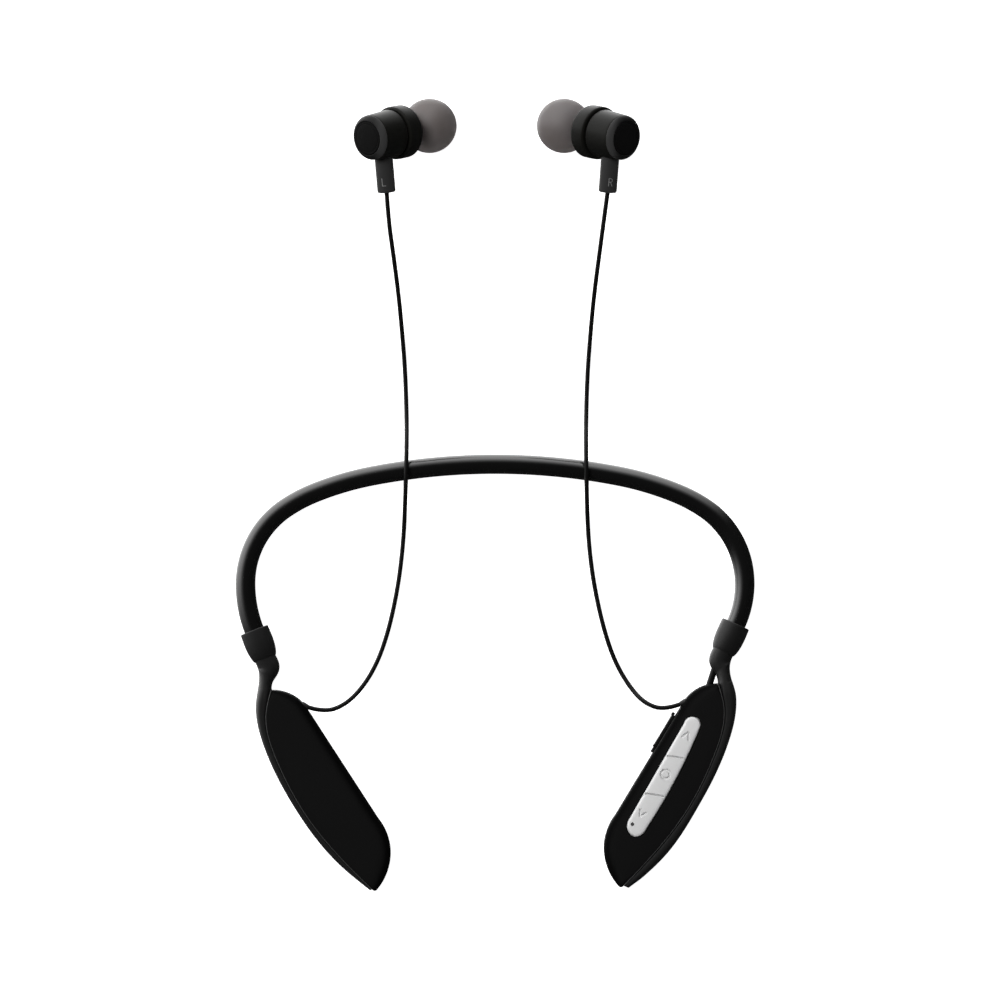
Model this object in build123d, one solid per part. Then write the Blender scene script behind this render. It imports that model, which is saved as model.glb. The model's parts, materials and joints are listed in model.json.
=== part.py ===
from build123d import *
from math import atan2, cos, degrees, pi, radians, sin, tan
import os

# Neckband earphones, lying flat as if on a table.
#
# Millimetres, +Z up.  The origin is on the table at the centre of the object's outline.
# +Y runs from the pods' tips towards the earbuds, and +X to the wearer's right-hand pod,
# the one with the keys.

os.makedirs("parts", exist_ok=True)

# ---------------------------------------------------------------- driving dimensions

# neckband sleeve: a round silicone tube bent along tangent arcs, from its crown outwards
SLEEVE_DIA = 5.3
SLEEVE_BORE = 3.2
CROWN_Y = 8.25
ARC_RADII = (172.0, 82.0, 41.0, 24.0)
ARC_TURNS = (11.0, 11.2, 12.1, 55.2)
TAIL_RADIUS_LEFT = 34.0
TAIL_TURN_LEFT = 21.8
TAIL_RADIUS_RIGHT = 26.0
TAIL_TURN_RIGHT = 25.0
POD_TURN = 1.8
SLEEVE_INSERT = 5.5
SLEEVE_END_Z = 3.95

# inside the sleeve
WIRE_DIA = 0.9
WIRE_RISE = 0.95
LEAD_DIA = 1.8
LEAD_DROP = 0.6
CHANNEL_GAP = 0.1

# collars
COLLAR_LENGTH = 8.35
COLLAR_MOUTH_R = 3.8
COLLAR_END_R = 3.05
STRAP_OVERLAP = 0.3

# pods
POD_HEIGHT = 8.6
SPLIT_Z = 4.3
WALL = 1.2
SHELL_ROUND = 0.7
STRAP_LOW_Z = 0.35
STRAP_HIGH_Z = 8.25
STRAP_NECK_LOW_Z = 0.9
STRAP_NECK_HIGH_Z = 7.0

# keys
KEY_TOP_Z = 9.1
KEY_GAP = 0.18
KEY_SEAM = 0.2
KEY_SEAM_ANGLE = -9.5
KEY_LIP = 0.7
KEY_LIP_Z = 7.3
KEY_LIP_THICK = 0.55
KEY_ROUND = 0.3
KEY_STEM_R = 0.9
KEY_STEM_END_Z = 6.35
KEY_HOLE_R = 0.42

# right pod electronics
BOARD_LOW_Z = 3.95
BOARD_THICK = 0.8
BOARD_TOP_Z = BOARD_LOW_Z + BOARD_THICK
SWITCH_SIDE = 3.0
SWITCH_HEIGHT = 1.0
SWITCH_PLUNGER_R = 0.7
SWITCH_PLUNGER_Z = 5.98
BOARD_ALONG = (-12.0, 15.6)
BOARD_ACROSS = (-4.0, 4.0)
RADIO_ALONG = (-2.0, 8.0)
RADIO_ACROSS = (-3.5, 3.5)
RADIO_THICK = 0.8
MICROPHONE_ALONG = (-1.5, 1.5)
MICROPHONE_ACROSS = (-1.1, 1.1)
MICROPHONE_TALL = 1.0

# left pod: the cell, placed along the pod's straight inner edge and in from it
CELL_INSET = 7.2
CELL_ALONG = (-11.5, 14.5)
CELL_ACROSS = (-3.9, 5.1)
CELL_UP = (1.7, 6.3)
CELL_ROUND = 1.0
CELL_BOARD_ALONG = (-15.5, -12.0)
CELL_BOARD_ACROSS = (-2.5, 4.5)
CELL_BOARD_UP = (3.2, 4.0)

# charging port
PORT_Z = 2.6
PORT_WIDE = 7.5
PORT_TALL = 2.6
PORT_DEEP = 5.0
PORT_SKIN = 0.3
COVER_LONG = 9.6
COVER_TALL = 3.4
COVER_THICK = 0.85
COVER_STANDOFF = 0.05
COVER_OUT = COVER_STANDOFF + COVER_THICK
COVER_ROLL_R = 0.3
TAB_TALL = 2.4
TAB_OUT = 1.7

# earbuds, measured along the bud's axis from the rear bevel
BUD_ELEVATION = 46.0
BUD_TURN = 15.0
BUD_REAR_R = 5.85
BUD_FACE_R = 4.5
BUD_BEVEL = 1.1
BUD_FRONT_R = 6.35
BUD_BODY_END = 7.9
BUD_GROOVE_R = 5.75
RING_START = 8.5
RING_END = 13.2
RING_R = 7.0
NOZZLE_START = 15.6
NOZZLE_END = 24.6
NOZZLE_R = 2.6
NOZZLE_BORE = 1.9
TIP_CENTRE = 23.0
TIP_R = 7.2
TIP_SKIN = 0.8
TIP_HOLE_R = 2.2
TIP_SKIRT_END = 18.0
BUD_WALL = 0.9
CAP_THICK = 0.8
DRIVER_R = 5.3
DRIVER_THICK = 3.2
MESH_THICK = 0.2
SLIP = 0.02
STEM_AT = 4.5
STEM_DIA = 4.8
STEM_ROUND = 0.5
TIP_SPOT_LEFT = (-17.35, 97.75)
TIP_SPOT_RIGHT = (18.25, 97.75)

# cords
CORD_DIA = 1.2
GROMMET_R = 1.15
GROMMET_LONG = 2.4
ARC_SHARE = 0.45


# ---------------------------------------------------------------- helpers


def save(node, shape):
    """Write one node's STEP file."""
    shape.label = node
    export_step(shape, f"parts/{node}.step")


def prism(face, low, high):
    """The face, drawn on the table, extruded from one height to another."""
    return extrude(face.moved(Location((0, 0, low))), high - low, dir=(0, 0, 1))


def block(plane, along, across, up):
    """A box given by its (low, high) along each axis of a plane."""
    size = [b - a for a, b in (along, across, up)]
    middle = [(a + b) / 2 for a, b in (along, across, up)]
    return plane * (Pos(*middle) * Box(*size))


def drum(plane, radius, low, high):
    """A round bar along a plane's normal."""
    shape = Cylinder(radius, high - low, align=(Align.CENTER, Align.CENTER, Align.MIN))
    return plane * (Pos(0, 0, low) * shape)


def corner_radii(points):
    """Each corner's arc, as large as its two runs allow."""
    route = [Vector(*p) for p in points]
    runs = [b - a for a, b in zip(route, route[1:])]
    radii = []
    for before, after in zip(runs, runs[1:]):
        shorter = min(before.length, after.length)
        radii.append(ARC_SHARE * shorter / tan(radians(before.get_angle(after)) / 2))
    return radii


def tube(path, diameter):
    """A round bar swept along a path."""
    start = Plane(origin=path @ 0, z_dir=path % 0)
    return sweep(start * Circle(diameter / 2), path=path)


# ---------------------------------------------------------------- neckband centreline


def band_end(tail_radius, tail_turn):
    """Where half the band ends in its own plane: (x, y, heading)."""
    x, y, heading = 0.0, 0.0, 0.0
    for radius, turn in zip((*ARC_RADII, tail_radius), (*ARC_TURNS, tail_turn)):
        after = heading + radians(turn)
        x += radius * (sin(after) - sin(heading))
        y -= radius * (cos(heading) - cos(after))
        heading = after
    return x, y, heading


LEFT_END = band_end(TAIL_RADIUS_LEFT, TAIL_TURN_LEFT)
RIGHT_END = band_end(TAIL_RADIUS_RIGHT, TAIL_TURN_RIGHT)

# The crown rests on the table and the band's ends are held higher, in the collars.
BAND_TILT = degrees(atan2(SLEEVE_END_Z - SLEEVE_DIA / 2, -LEFT_END[1]))


def band_path(rise=0.0, insert=SLEEVE_INSERT):
    """The band's centreline from the left end to the right end, with straight ends."""
    radii = (TAIL_RADIUS_LEFT, *reversed(ARC_RADII), *ARC_RADII, TAIL_RADIUS_RIGHT)
    turns = (TAIL_TURN_LEFT, *reversed(ARC_TURNS), *ARC_TURNS, TAIL_TURN_RIGHT)
    x, y, heading = LEFT_END
    ends_at = (-x, y)
    starts_at = (-x - insert * cos(heading), y - insert * sin(heading))
    edges = [Line(starts_at, ends_at)]
    for radius, turn in zip(radii, turns):
        last = edges[-1]
        edges.append(JernArc(last @ 1, last % 1, radius, -turn))
    last = edges[-1]
    edges.append(Line(last @ 1, last @ 1 + (last % 1) * insert))
    lift = Location((0, CROWN_Y, SLEEVE_DIA / 2 + rise), (-BAND_TILT, 0, 0))
    return Wire([edge.edge() for edge in edges]).moved(lift)


BAND = band_path(insert=0.001)
LEFT_MOUTH = BAND @ 0
RIGHT_MOUTH = BAND @ 1
LEFT_OUT = (BAND % 0) * -1
RIGHT_OUT = BAND % 1

LEFT_NECK = LEFT_MOUTH + LEFT_OUT * COLLAR_LENGTH
RIGHT_NECK = RIGHT_MOUTH + RIGHT_OUT * COLLAR_LENGTH

# The right pod is the left one mirrored, moved to its own collar and turned a little.
PIVOT = Vector(-LEFT_NECK.X, LEFT_NECK.Y, 0)
POD_SHIFT = Vector(RIGHT_NECK.X, RIGHT_NECK.Y, 0) - PIVOT


def to_right(shape):
    """The same piece on the right pod."""
    turned = shape.mirror(Plane.YZ).rotate(Axis(PIVOT, (0, 0, 1)), POD_TURN)
    return turned.moved(Location(POD_SHIFT))


def right_point(x, y, z=0.0):
    """The right pod's point that answers a point of the left pod."""
    return (Vector(-x, y, z) - PIVOT).rotate(Axis.Z, POD_TURN) + PIVOT + POD_SHIFT


# ---------------------------------------------------------------- pod outlines, left pod

POD_TOP = (-59.3, -51.8)
POD_TIP = (-32.6, -104.4)
TIP_LOW = (-31.95, -104.85)
TIP_SIDE = (-31.2, -104.5)
STRAP_TIP = (-33.2, -104.6)
EDGE_TOP = Vector(-50.4, -55.9)
EDGE_LOW = Vector(-31.0, -85.8)
EDGE_DOWN = (EDGE_LOW - EDGE_TOP).normalized()


def parting_line():
    """The line between the shell and the strap's bead, from the top to the tip."""
    return Spline(
        POD_TOP,
        (-60.6, -58.0),
        (-57.7, -70.4),
        (-48.4, -87.1),
        POD_TIP,
    )


def lower_arc():
    """The inner edge's round stretch near the tip."""
    return ThreePointArc(TIP_SIDE, (-27.7, -95.15), (EDGE_LOW.X, EDGE_LOW.Y))


def upper_arc():
    """The pod's top edge, from its inner corner to the strap."""
    return ThreePointArc((EDGE_TOP.X, EDGE_TOP.Y), (-54.4, -52.7), POD_TOP)


def shell_outline():
    """The leaf-shaped outline of the hard shells."""
    edges = [
        parting_line(),
        ThreePointArc(POD_TIP, TIP_LOW, TIP_SIDE),
        lower_arc(),
        Line((EDGE_LOW.X, EDGE_LOW.Y), (EDGE_TOP.X, EDGE_TOP.Y)),
        upper_arc(),
    ]
    return make_face([edge.edge() for edge in edges])


def inset(edge, places):
    """Points one wall inside an edge of the shells' outline."""
    points = []
    for place in places:
        along = edge % place
        points.append((edge @ place) + Vector(-along.Y, along.X, 0) * WALL)
    return points


def cavity_outline():
    """The shells' inside, one wall in from their outline and square-ended at the tips."""
    outer = inset(parting_line(), (0.07, 0.3, 0.5, 0.7, 0.92))
    lower = inset(lower_arc(), (0.3, 0.7, 1.0))
    upper = inset(upper_arc(), (0.0, 0.4, 0.75))
    edges = [
        Spline(*outer),
        Line(outer[-1], lower[0]),
        ThreePointArc(*lower),
        Line(lower[-1], upper[0]),
        ThreePointArc(*upper),
        Line(upper[-1], outer[0]),
    ]
    return make_face([edge.edge() for edge in edges])


def strap_outline():
    """The strap from its collar, round its bulge and down the pod's outer edge."""
    side = Vector(-LEFT_OUT.Y, LEFT_OUT.X, 0).normalized() * COLLAR_END_R
    start = LEFT_NECK - LEFT_OUT * STRAP_OVERLAP
    inner = (start.X + side.X, start.Y + side.Y)
    outer = (start.X - side.X, start.Y - side.Y)
    edges = [
        Line(outer, inner),
        Spline(inner, (-57.2, -46.4), (-58.8, -50.2), POD_TOP),
        parting_line(),
        Line(POD_TIP, STRAP_TIP),
        Spline(
            STRAP_TIP,
            (-41.4, -97.9),
            (-53.5, -82.4),
            (-61.3, -66.7),
            (-63.6, -55.6),
            (-62.6, -48.6),
            outer,
        ),
    ]
    return make_face([edge.edge() for edge in edges])


def strap_side():
    """The strap's height along Y: thin at the collar and full at the pod."""
    neck_start = -40.0
    neck_end = -46.5
    pod_start = -54.0
    pod_end = -108.0
    corners = [
        (neck_start, STRAP_NECK_LOW_Z),
        (neck_end, STRAP_NECK_LOW_Z),
        (pod_start, STRAP_LOW_Z),
        (pod_end, STRAP_LOW_Z),
        (pod_end, STRAP_HIGH_Z),
        (pod_start, STRAP_HIGH_Z),
        (neck_end, STRAP_NECK_HIGH_Z),
        (neck_start, STRAP_NECK_HIGH_Z),
    ]
    reach = 80.0
    return extrude(Plane.YZ * make_face(Polyline(*corners, close=True)), -reach)


# ---------------------------------------------------------------- runs inside the band


LEAD_BEND = 5.0


def tail(points):
    """A short run of lead with rounded corners."""
    radii = [min(radius, LEAD_BEND) for radius in corner_radii([tuple(p) for p in points])]
    return FilletPolyline(*points, radius=radii)


def lead_path():
    """The lead between the pods: out of one pod, round the band and into the other."""
    middle = band_path(rise=-LEAD_DROP)
    left = tail(
        [
            Vector(-55.6, -57.2, 4.3),
            Vector(-59.2, -54.6, 4.3),
            Vector(-60.9, -49.0, 4.0),
            (middle @ 0) - (middle % 0) * 1.5,
            middle @ 0,
        ]
    )
    right = tail(
        [
            middle @ 1,
            (middle @ 1) + (middle % 1) * 1.5,
            Vector(58.1, -46.6, 4.0),
            Vector(56.7, -50.9, 4.3),
            Vector(54.6, -55.0, 4.3),
        ]
    )
    return Wire([*left.edges(), *middle.edges(), *right.edges()])


# ---------------------------------------------------------------- keys' slot

STRIP_TOP_LEFT = (50.1, -60.3)
STRIP_TOP = (52.2, -58.7)
STRIP_TOP_RIGHT = (54.1, -61.8)
STRIP_RIGHT = (47.1, -76.5)
STRIP_LOW_RIGHT = (40.1, -87.7)
STRIP_LOW = (37.5, -90.4)
STRIP_LOW_LEFT = (35.2, -86.3)
SEAM_CENTRES = ((47.75, -69.4), (42.2, -79.4))
KEY_CENTRES = ((50.5, -64.2), (45.1, -73.9), (39.3, -83.6))
SOUND_HOLE = (36.35, -87.1)


def strip_outline(grow=0.0):
    """The outline of the row of keys, grown by grow."""
    edges = [
        Line(STRIP_TOP_LEFT, STRIP_LOW_LEFT),
        ThreePointArc(STRIP_LOW_LEFT, STRIP_LOW, STRIP_LOW_RIGHT),
        ThreePointArc(STRIP_LOW_RIGHT, STRIP_RIGHT, STRIP_TOP_RIGHT),
        ThreePointArc(STRIP_TOP_RIGHT, STRIP_TOP, STRIP_TOP_LEFT),
    ]
    face = make_face([edge.edge() for edge in edges])
    if grow:
        return make_face(offset(face.face().outer_wire(), grow).edges())
    return face


def make_keys():
    """The three keys: a cap in the slot, a lip under the cover and a stem to press with."""
    seams = []
    for x, y in SEAM_CENTRES:
        seams.append(Pos(x, y, 5) * Rot(0, 0, KEY_SEAM_ANGLE) * Box(20, KEY_SEAM, 10))
    cap = prism(strip_outline(), KEY_LIP_Z, KEY_TOP_Z)
    cap = fillet(cap.faces().sort_by(Axis.Z)[-1].edges(), KEY_ROUND)
    lip = prism(strip_outline(KEY_LIP), KEY_LIP_Z - KEY_LIP_THICK, KEY_LIP_Z)
    whole = cap + lip
    for seam in seams:
        whole -= seam
    x, y = SOUND_HOLE
    whole -= Pos(x, y, 5) * Cylinder(KEY_HOLE_R, 12)
    pieces = whole.solids().sort_by(Axis.Y, reverse=True)
    keys = []
    for piece, (x, y) in zip(pieces, KEY_CENTRES):
        keys.append(piece + drum(Plane((x, y, 0)), KEY_STEM_R, KEY_STEM_END_Z, KEY_LIP_Z))
    return keys


# ---------------------------------------------------------------- charging port

PORT_LOW_DOWN = 14.6
PORT_SPOT = EDGE_TOP + EDGE_DOWN * PORT_LOW_DOWN
PORT_LOW = right_point(PORT_SPOT.X, PORT_SPOT.Y)
PORT_HIGH = right_point(EDGE_TOP.X, EDGE_TOP.Y)
PORT_PLANE = Plane(origin=PORT_LOW, x_dir=PORT_HIGH - PORT_LOW, z_dir=(0, 0, 1))
PORT_FROM = 0.7
PORT_TO = 8.9
PORT_PLUG_FROM = 1.1
PORT_PLUG_TO = 8.5
PORT_PLUG_DEEP = 1.0
TETHER_FROM = -1.8
TETHER_TO = -0.45
TETHER_TALL = 3.2
TETHER_ROOT = (-1.6, -0.6)
TETHER_ROOT_TALL = 1.6
TETHER_ROOT_DEEP = WALL + 0.4
SOCKET_BACK = 0.4
SOCKET_TONGUE_WIDE = 4.8
SOCKET_TONGUE_THICK = 0.6
PORT_OPEN_TALL = 2.8
PORT_PLUG_TALL = 2.2


def port_opening():
    """The opening in the shells' wall."""
    up = (PORT_Z - PORT_OPEN_TALL / 2, PORT_Z + PORT_OPEN_TALL / 2)
    return block(PORT_PLANE, (PORT_FROM, PORT_TO), (-WALL - 1.0, 1.0), up)


def make_cover():
    """The rubber flap over the port, with its plug, its pull tab and its hinge roll."""
    up = (PORT_Z - COVER_TALL / 2, PORT_Z + COVER_TALL / 2)
    plate = block(PORT_PLANE, (0, COVER_LONG), (COVER_STANDOFF, COVER_OUT), up)
    plug_up = (PORT_Z - PORT_PLUG_TALL / 2, PORT_Z + PORT_PLUG_TALL / 2)
    plug_deep = (-PORT_PLUG_DEEP, COVER_THICK / 2)
    plug = block(PORT_PLANE, (PORT_PLUG_FROM, PORT_PLUG_TO), plug_deep, plug_up)
    tab_up = (PORT_Z - TAB_TALL / 2, PORT_Z + TAB_TALL / 2)
    tab = block(PORT_PLANE, (COVER_LONG - 0.4, COVER_LONG + 0.5), (COVER_THICK / 2, TAB_OUT), tab_up)
    roll = drum(PORT_PLANE * Plane((0, COVER_OUT, 0)), COVER_ROLL_R, *up)
    return plate + plug + tab + roll


def make_tether():
    """The rubber foot that holds the flap's hinge end to the shell."""
    up = (PORT_Z - TETHER_TALL / 2, PORT_Z + TETHER_TALL / 2)
    foot = block(PORT_PLANE, (TETHER_FROM, TETHER_TO), (COVER_STANDOFF, COVER_OUT), up)
    root_up = (PORT_Z - TETHER_ROOT_TALL / 2, PORT_Z + TETHER_ROOT_TALL / 2)
    root = block(PORT_PLANE, TETHER_ROOT, (-TETHER_ROOT_DEEP, COVER_THICK / 2), root_up)
    return foot + root


def make_socket():
    """The metal socket: a folded box with a tongue."""
    middle = (PORT_FROM + PORT_TO) / 2
    along = (middle - PORT_WIDE / 2, middle + PORT_WIDE / 2)
    depth = (-WALL - SOCKET_BACK - PORT_DEEP, -WALL - SOCKET_BACK)
    low, high = PORT_Z - PORT_TALL / 2, PORT_Z + PORT_TALL / 2
    box = block(PORT_PLANE, along, depth, (low, high))
    inside = (along[0] + PORT_SKIN, along[1] - PORT_SKIN)
    hollow = (depth[0] + 1.0, depth[1] + 1.0)
    box -= block(PORT_PLANE, inside, hollow, (low + PORT_SKIN, high - PORT_SKIN))
    tongue_along = (middle - SOCKET_TONGUE_WIDE / 2, middle + SOCKET_TONGUE_WIDE / 2)
    tongue_deep = (depth[0] + 0.5, depth[1] - 0.6)
    return box + block(PORT_PLANE, tongue_along, tongue_deep, (PORT_Z, PORT_Z + SOCKET_TONGUE_THICK))


# ---------------------------------------------------------------- pods


def pod_shells():
    """The left pod's top and bottom shells, before anything is cut in them."""
    outline = shell_outline()
    inside = cavity_outline()
    top = prism(outline, SPLIT_Z, POD_HEIGHT)
    top = fillet(top.faces().sort_by(Axis.Z)[-1].edges(), SHELL_ROUND)
    top -= prism(inside, SPLIT_Z - 1, POD_HEIGHT - WALL)
    bottom = prism(outline, 0, SPLIT_Z)
    bottom = fillet(bottom.faces().sort_by(Axis.Z)[0].edges(), SHELL_ROUND)
    bottom -= prism(inside, WALL, SPLIT_Z + 1)
    return top, bottom


def collar_cone(mouth, out):
    """The outer shape of a flared collar."""
    up = (Align.CENTER, Align.CENTER, Align.MIN)
    cone = Cone(COLLAR_MOUTH_R, COLLAR_END_R, COLLAR_LENGTH, align=up)
    return Plane(origin=mouth, z_dir=out) * cone


def make_collar(mouth, out):
    """A flared collar round one end of the sleeve."""
    plane = Plane(origin=mouth, z_dir=out)
    return collar_cone(mouth, out) - drum(plane, SLEEVE_DIA / 2, -1, SLEEVE_INSERT)


def make_grommet(route):
    """The rubber ring that one cord leaves its pod through."""
    start = Vector(*route[0])
    out = (Vector(*route[1]) - start).normalized()
    return drum(Plane(origin=start, z_dir=out), GROMMET_R, -GROMMET_LONG, 0)


# ---------------------------------------------------------------- earbuds, left one

LEAN = radians(BUD_ELEVATION)
SWING = radians(BUD_TURN)
BUD_OUT = Vector(cos(LEAN) * cos(SWING), cos(LEAN) * sin(SWING), -sin(LEAN))
BUD_TIP = Vector(*TIP_SPOT_LEFT, TIP_R)
BUD_ORIGIN = BUD_TIP - BUD_OUT * TIP_CENTRE
BUD_PLANE = Plane(origin=BUD_ORIGIN, z_dir=BUD_OUT)
BUD_SHIFT_RIGHT = TIP_SPOT_RIGHT[0] + TIP_SPOT_LEFT[0]


def turned(*profile):
    """A solid turned round the bud's axis from (radius, place along it) corners."""
    outline = make_face(Polyline(*[(r, s) for r, s in profile], close=True))
    spun = revolve(Plane.XZ * outline, Axis.Z)
    return BUD_PLANE * spun


def bud_to_right(shape):
    """The same piece of the right earbud."""
    return shape.mirror(Plane.YZ).moved(Location((BUD_SHIFT_RIGHT, 0, 0)))


def make_housing():
    """The barrel behind the ring, with the groove where it meets the ring."""
    lip = BUD_FACE_R - 0.6
    return turned(
        (BUD_FACE_R, -BUD_BEVEL),
        (BUD_FACE_R + 0.75, -BUD_BEVEL * 0.75),
        (BUD_REAR_R, 0),
        (BUD_REAR_R + 0.1, 1.0),
        (BUD_FRONT_R, BUD_BODY_END),
        (BUD_GROOVE_R, BUD_BODY_END),
        (BUD_GROOVE_R, RING_START),
        (BUD_GROOVE_R - BUD_WALL, RING_START),
        (BUD_GROOVE_R - BUD_WALL, 0.8),
        (lip, 0.3),
        (lip, CAP_THICK - BUD_BEVEL),
        (BUD_FACE_R, CAP_THICK - BUD_BEVEL),
    )


def make_front():
    """The ring in front of the barrel, tapering to the nozzle that carries the ear tip."""
    inside = RING_R - 1.4
    return turned(
        (RING_R - 0.3, RING_START),
        (RING_R, RING_START + 0.4),
        (RING_R, RING_END - 0.4),
        (RING_R - 0.4, RING_END),
        (NOZZLE_R + 1.6, NOZZLE_START),
        (NOZZLE_R, NOZZLE_START + 0.6),
        (NOZZLE_R, NOZZLE_END - 2.0),
        (NOZZLE_R + 0.4, NOZZLE_END - 1.2),
        (NOZZLE_R, NOZZLE_END),
        (NOZZLE_BORE, NOZZLE_END),
        (NOZZLE_BORE, NOZZLE_START - 0.6),
        (inside, RING_END - 0.6),
        (inside, RING_START),
    )


def make_driver():
    """The speaker, a stamped can with a narrower magnet cup behind its diaphragm."""
    back = RING_START + 0.4
    return turned(
        (0, back),
        (DRIVER_R, back),
        (DRIVER_R, back + DRIVER_THICK - 0.8),
        (DRIVER_R * 0.55, back + DRIVER_THICK),
        (0, back + DRIVER_THICK),
    )


def disc(radius, start, thick):
    """A flat disc across the bud's axis."""
    return turned((0, start), (radius, start), (radius, start + thick), (0, start + thick))


def make_bud(cord_end):
    """The left earbud's pieces by name."""
    foot = BUD_ORIGIN + BUD_OUT * STEM_AT
    down = (cord_end - foot).normalized()
    long = (cord_end - foot).length
    stem_plane = Plane(origin=foot, z_dir=down)
    stem = drum(stem_plane, STEM_DIA / 2, BUD_REAR_R - 1.0, long)
    rim = stem.edges().filter_by(GeomType.CIRCLE).sort_by_distance(cord_end)[0]
    socket = drum(stem_plane, STEM_DIA / 2, BUD_REAR_R - 1.6, long)
    return {
        "bud_housing": make_housing() - socket,
        "bud_cap": disc(BUD_FACE_R - SLIP, -BUD_BEVEL, CAP_THICK),
        "bud_front": make_front(),
        "driver": make_driver(),
        "nozzle_mesh": disc(NOZZLE_BORE - SLIP, NOZZLE_END - 0.5, MESH_THICK),
        "ear_tip": make_tip(),
        "bud_stem": fillet(rim, STEM_ROUND),
    }


def make_tip():
    """The silicone ear tip: a dome, a skirt folded back and a core on the nozzle."""
    apex = TIP_CENTRE + (TIP_R**2 - TIP_HOLE_R**2) ** 0.5
    inner = TIP_R - TIP_SKIN
    core = NOZZLE_R + TIP_SKIN
    bore = NOZZLE_R + SLIP
    turn = TIP_CENTRE + (inner**2 - core**2) ** 0.5
    outer_45 = TIP_R * cos(pi / 4)
    inner_45 = inner * cos(pi / 4)
    hem = TIP_R - 0.2
    inner_hem = inner - 0.2
    edges = [
        Line((TIP_HOLE_R, apex), (TIP_HOLE_R, NOZZLE_END + 0.1)),
        Line((TIP_HOLE_R, NOZZLE_END + 0.1), (bore, NOZZLE_END + 0.1)),
        Line((bore, NOZZLE_END + 0.1), (bore, TIP_SKIRT_END)),
        Line((bore, TIP_SKIRT_END), (core, TIP_SKIRT_END)),
        Line((core, TIP_SKIRT_END), (core, turn)),
        ThreePointArc((core, turn), (inner_45, TIP_CENTRE + inner_45), (inner, TIP_CENTRE)),
        Line((inner, TIP_CENTRE), (inner_hem, TIP_SKIRT_END)),
        Line((inner_hem, TIP_SKIRT_END), (hem, TIP_SKIRT_END)),
        Line((hem, TIP_SKIRT_END), (TIP_R, TIP_CENTRE)),
        ThreePointArc((TIP_R, TIP_CENTRE), (outer_45, TIP_CENTRE + outer_45), (TIP_HOLE_R, apex)),
    ]
    tip = revolve(Plane.XZ * make_face([edge.edge() for edge in edges]), Axis.Z)
    room = drum(Plane.XY, NOZZLE_R + 0.4 + SLIP, NOZZLE_END - 2.1, NOZZLE_END + 0.1)
    return BUD_PLANE * (tip - room)


# ---------------------------------------------------------------- earbud cords

LEFT_CORD = [
    (-49.7, -56.2, 5.6),
    (-45.2, -57.6, 5.6),
    (-39.6, -55.6, 4.6),
    (-34.9, -50.8, 1.7),
    (-31.1, -44.2, 0.65),
    (-28.3, -36.0, 0.65),
    (-26.1, -26.0, 0.65),
    (-24.8, -16.8, 0.65),
    (-24.1, -9.8, 0.9),
    (-23.7, 0.6, 9.1),
    (-23.4, 12.6, 9.1),
    (-23.5, 23.4, 0.8),
    (-23.9, 33.0, 0.65),
    (-24.6, 42.4, 2.2),
    (-25.5, 53.0, 8.6),
    (-26.9, 64.2, 14.6),
    (-28.0, 72.0, 17.0),
    (-28.5, 79.6, 18.2),
]
RIGHT_CORD = [
    (49.2, -55.4, 5.6),
    (44.8, -57.0, 5.6),
    (39.6, -55.2, 4.9),
    (35.6, -50.8, 1.8),
    (31.8, -44.2, 0.65),
    (29.0, -36.0, 0.65),
    (26.7, -26.0, 0.65),
    (25.3, -16.8, 0.65),
    (24.6, -9.8, 0.9),
    (24.3, 0.6, 9.1),
    (24.1, 12.6, 9.1),
    (24.2, 23.4, 0.8),
    (24.6, 33.0, 0.65),
    (25.3, 42.4, 2.2),
    (26.2, 53.0, 8.6),
    (27.6, 64.2, 14.6),
    (28.6, 72.0, 17.0),
    (29.6, 79.6, 18.2),
]


def make_cord(name, points):
    """One earbud cord, and its figures in print."""
    radii = corner_radii(points)
    path = FilletPolyline(*[Vector(*p) for p in points], radius=radii)
    solid = tube(path.wire(), CORD_DIA)
    want = pi * (CORD_DIA / 2) ** 2 * path.length
    print(name, "length", round(path.length, 1), "tightest arc", round(min(radii), 1))
    print(name, "volume over section times length", round(solid.volume / want, 4))
    return solid


# ---------------------------------------------------------------- everything together


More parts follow.
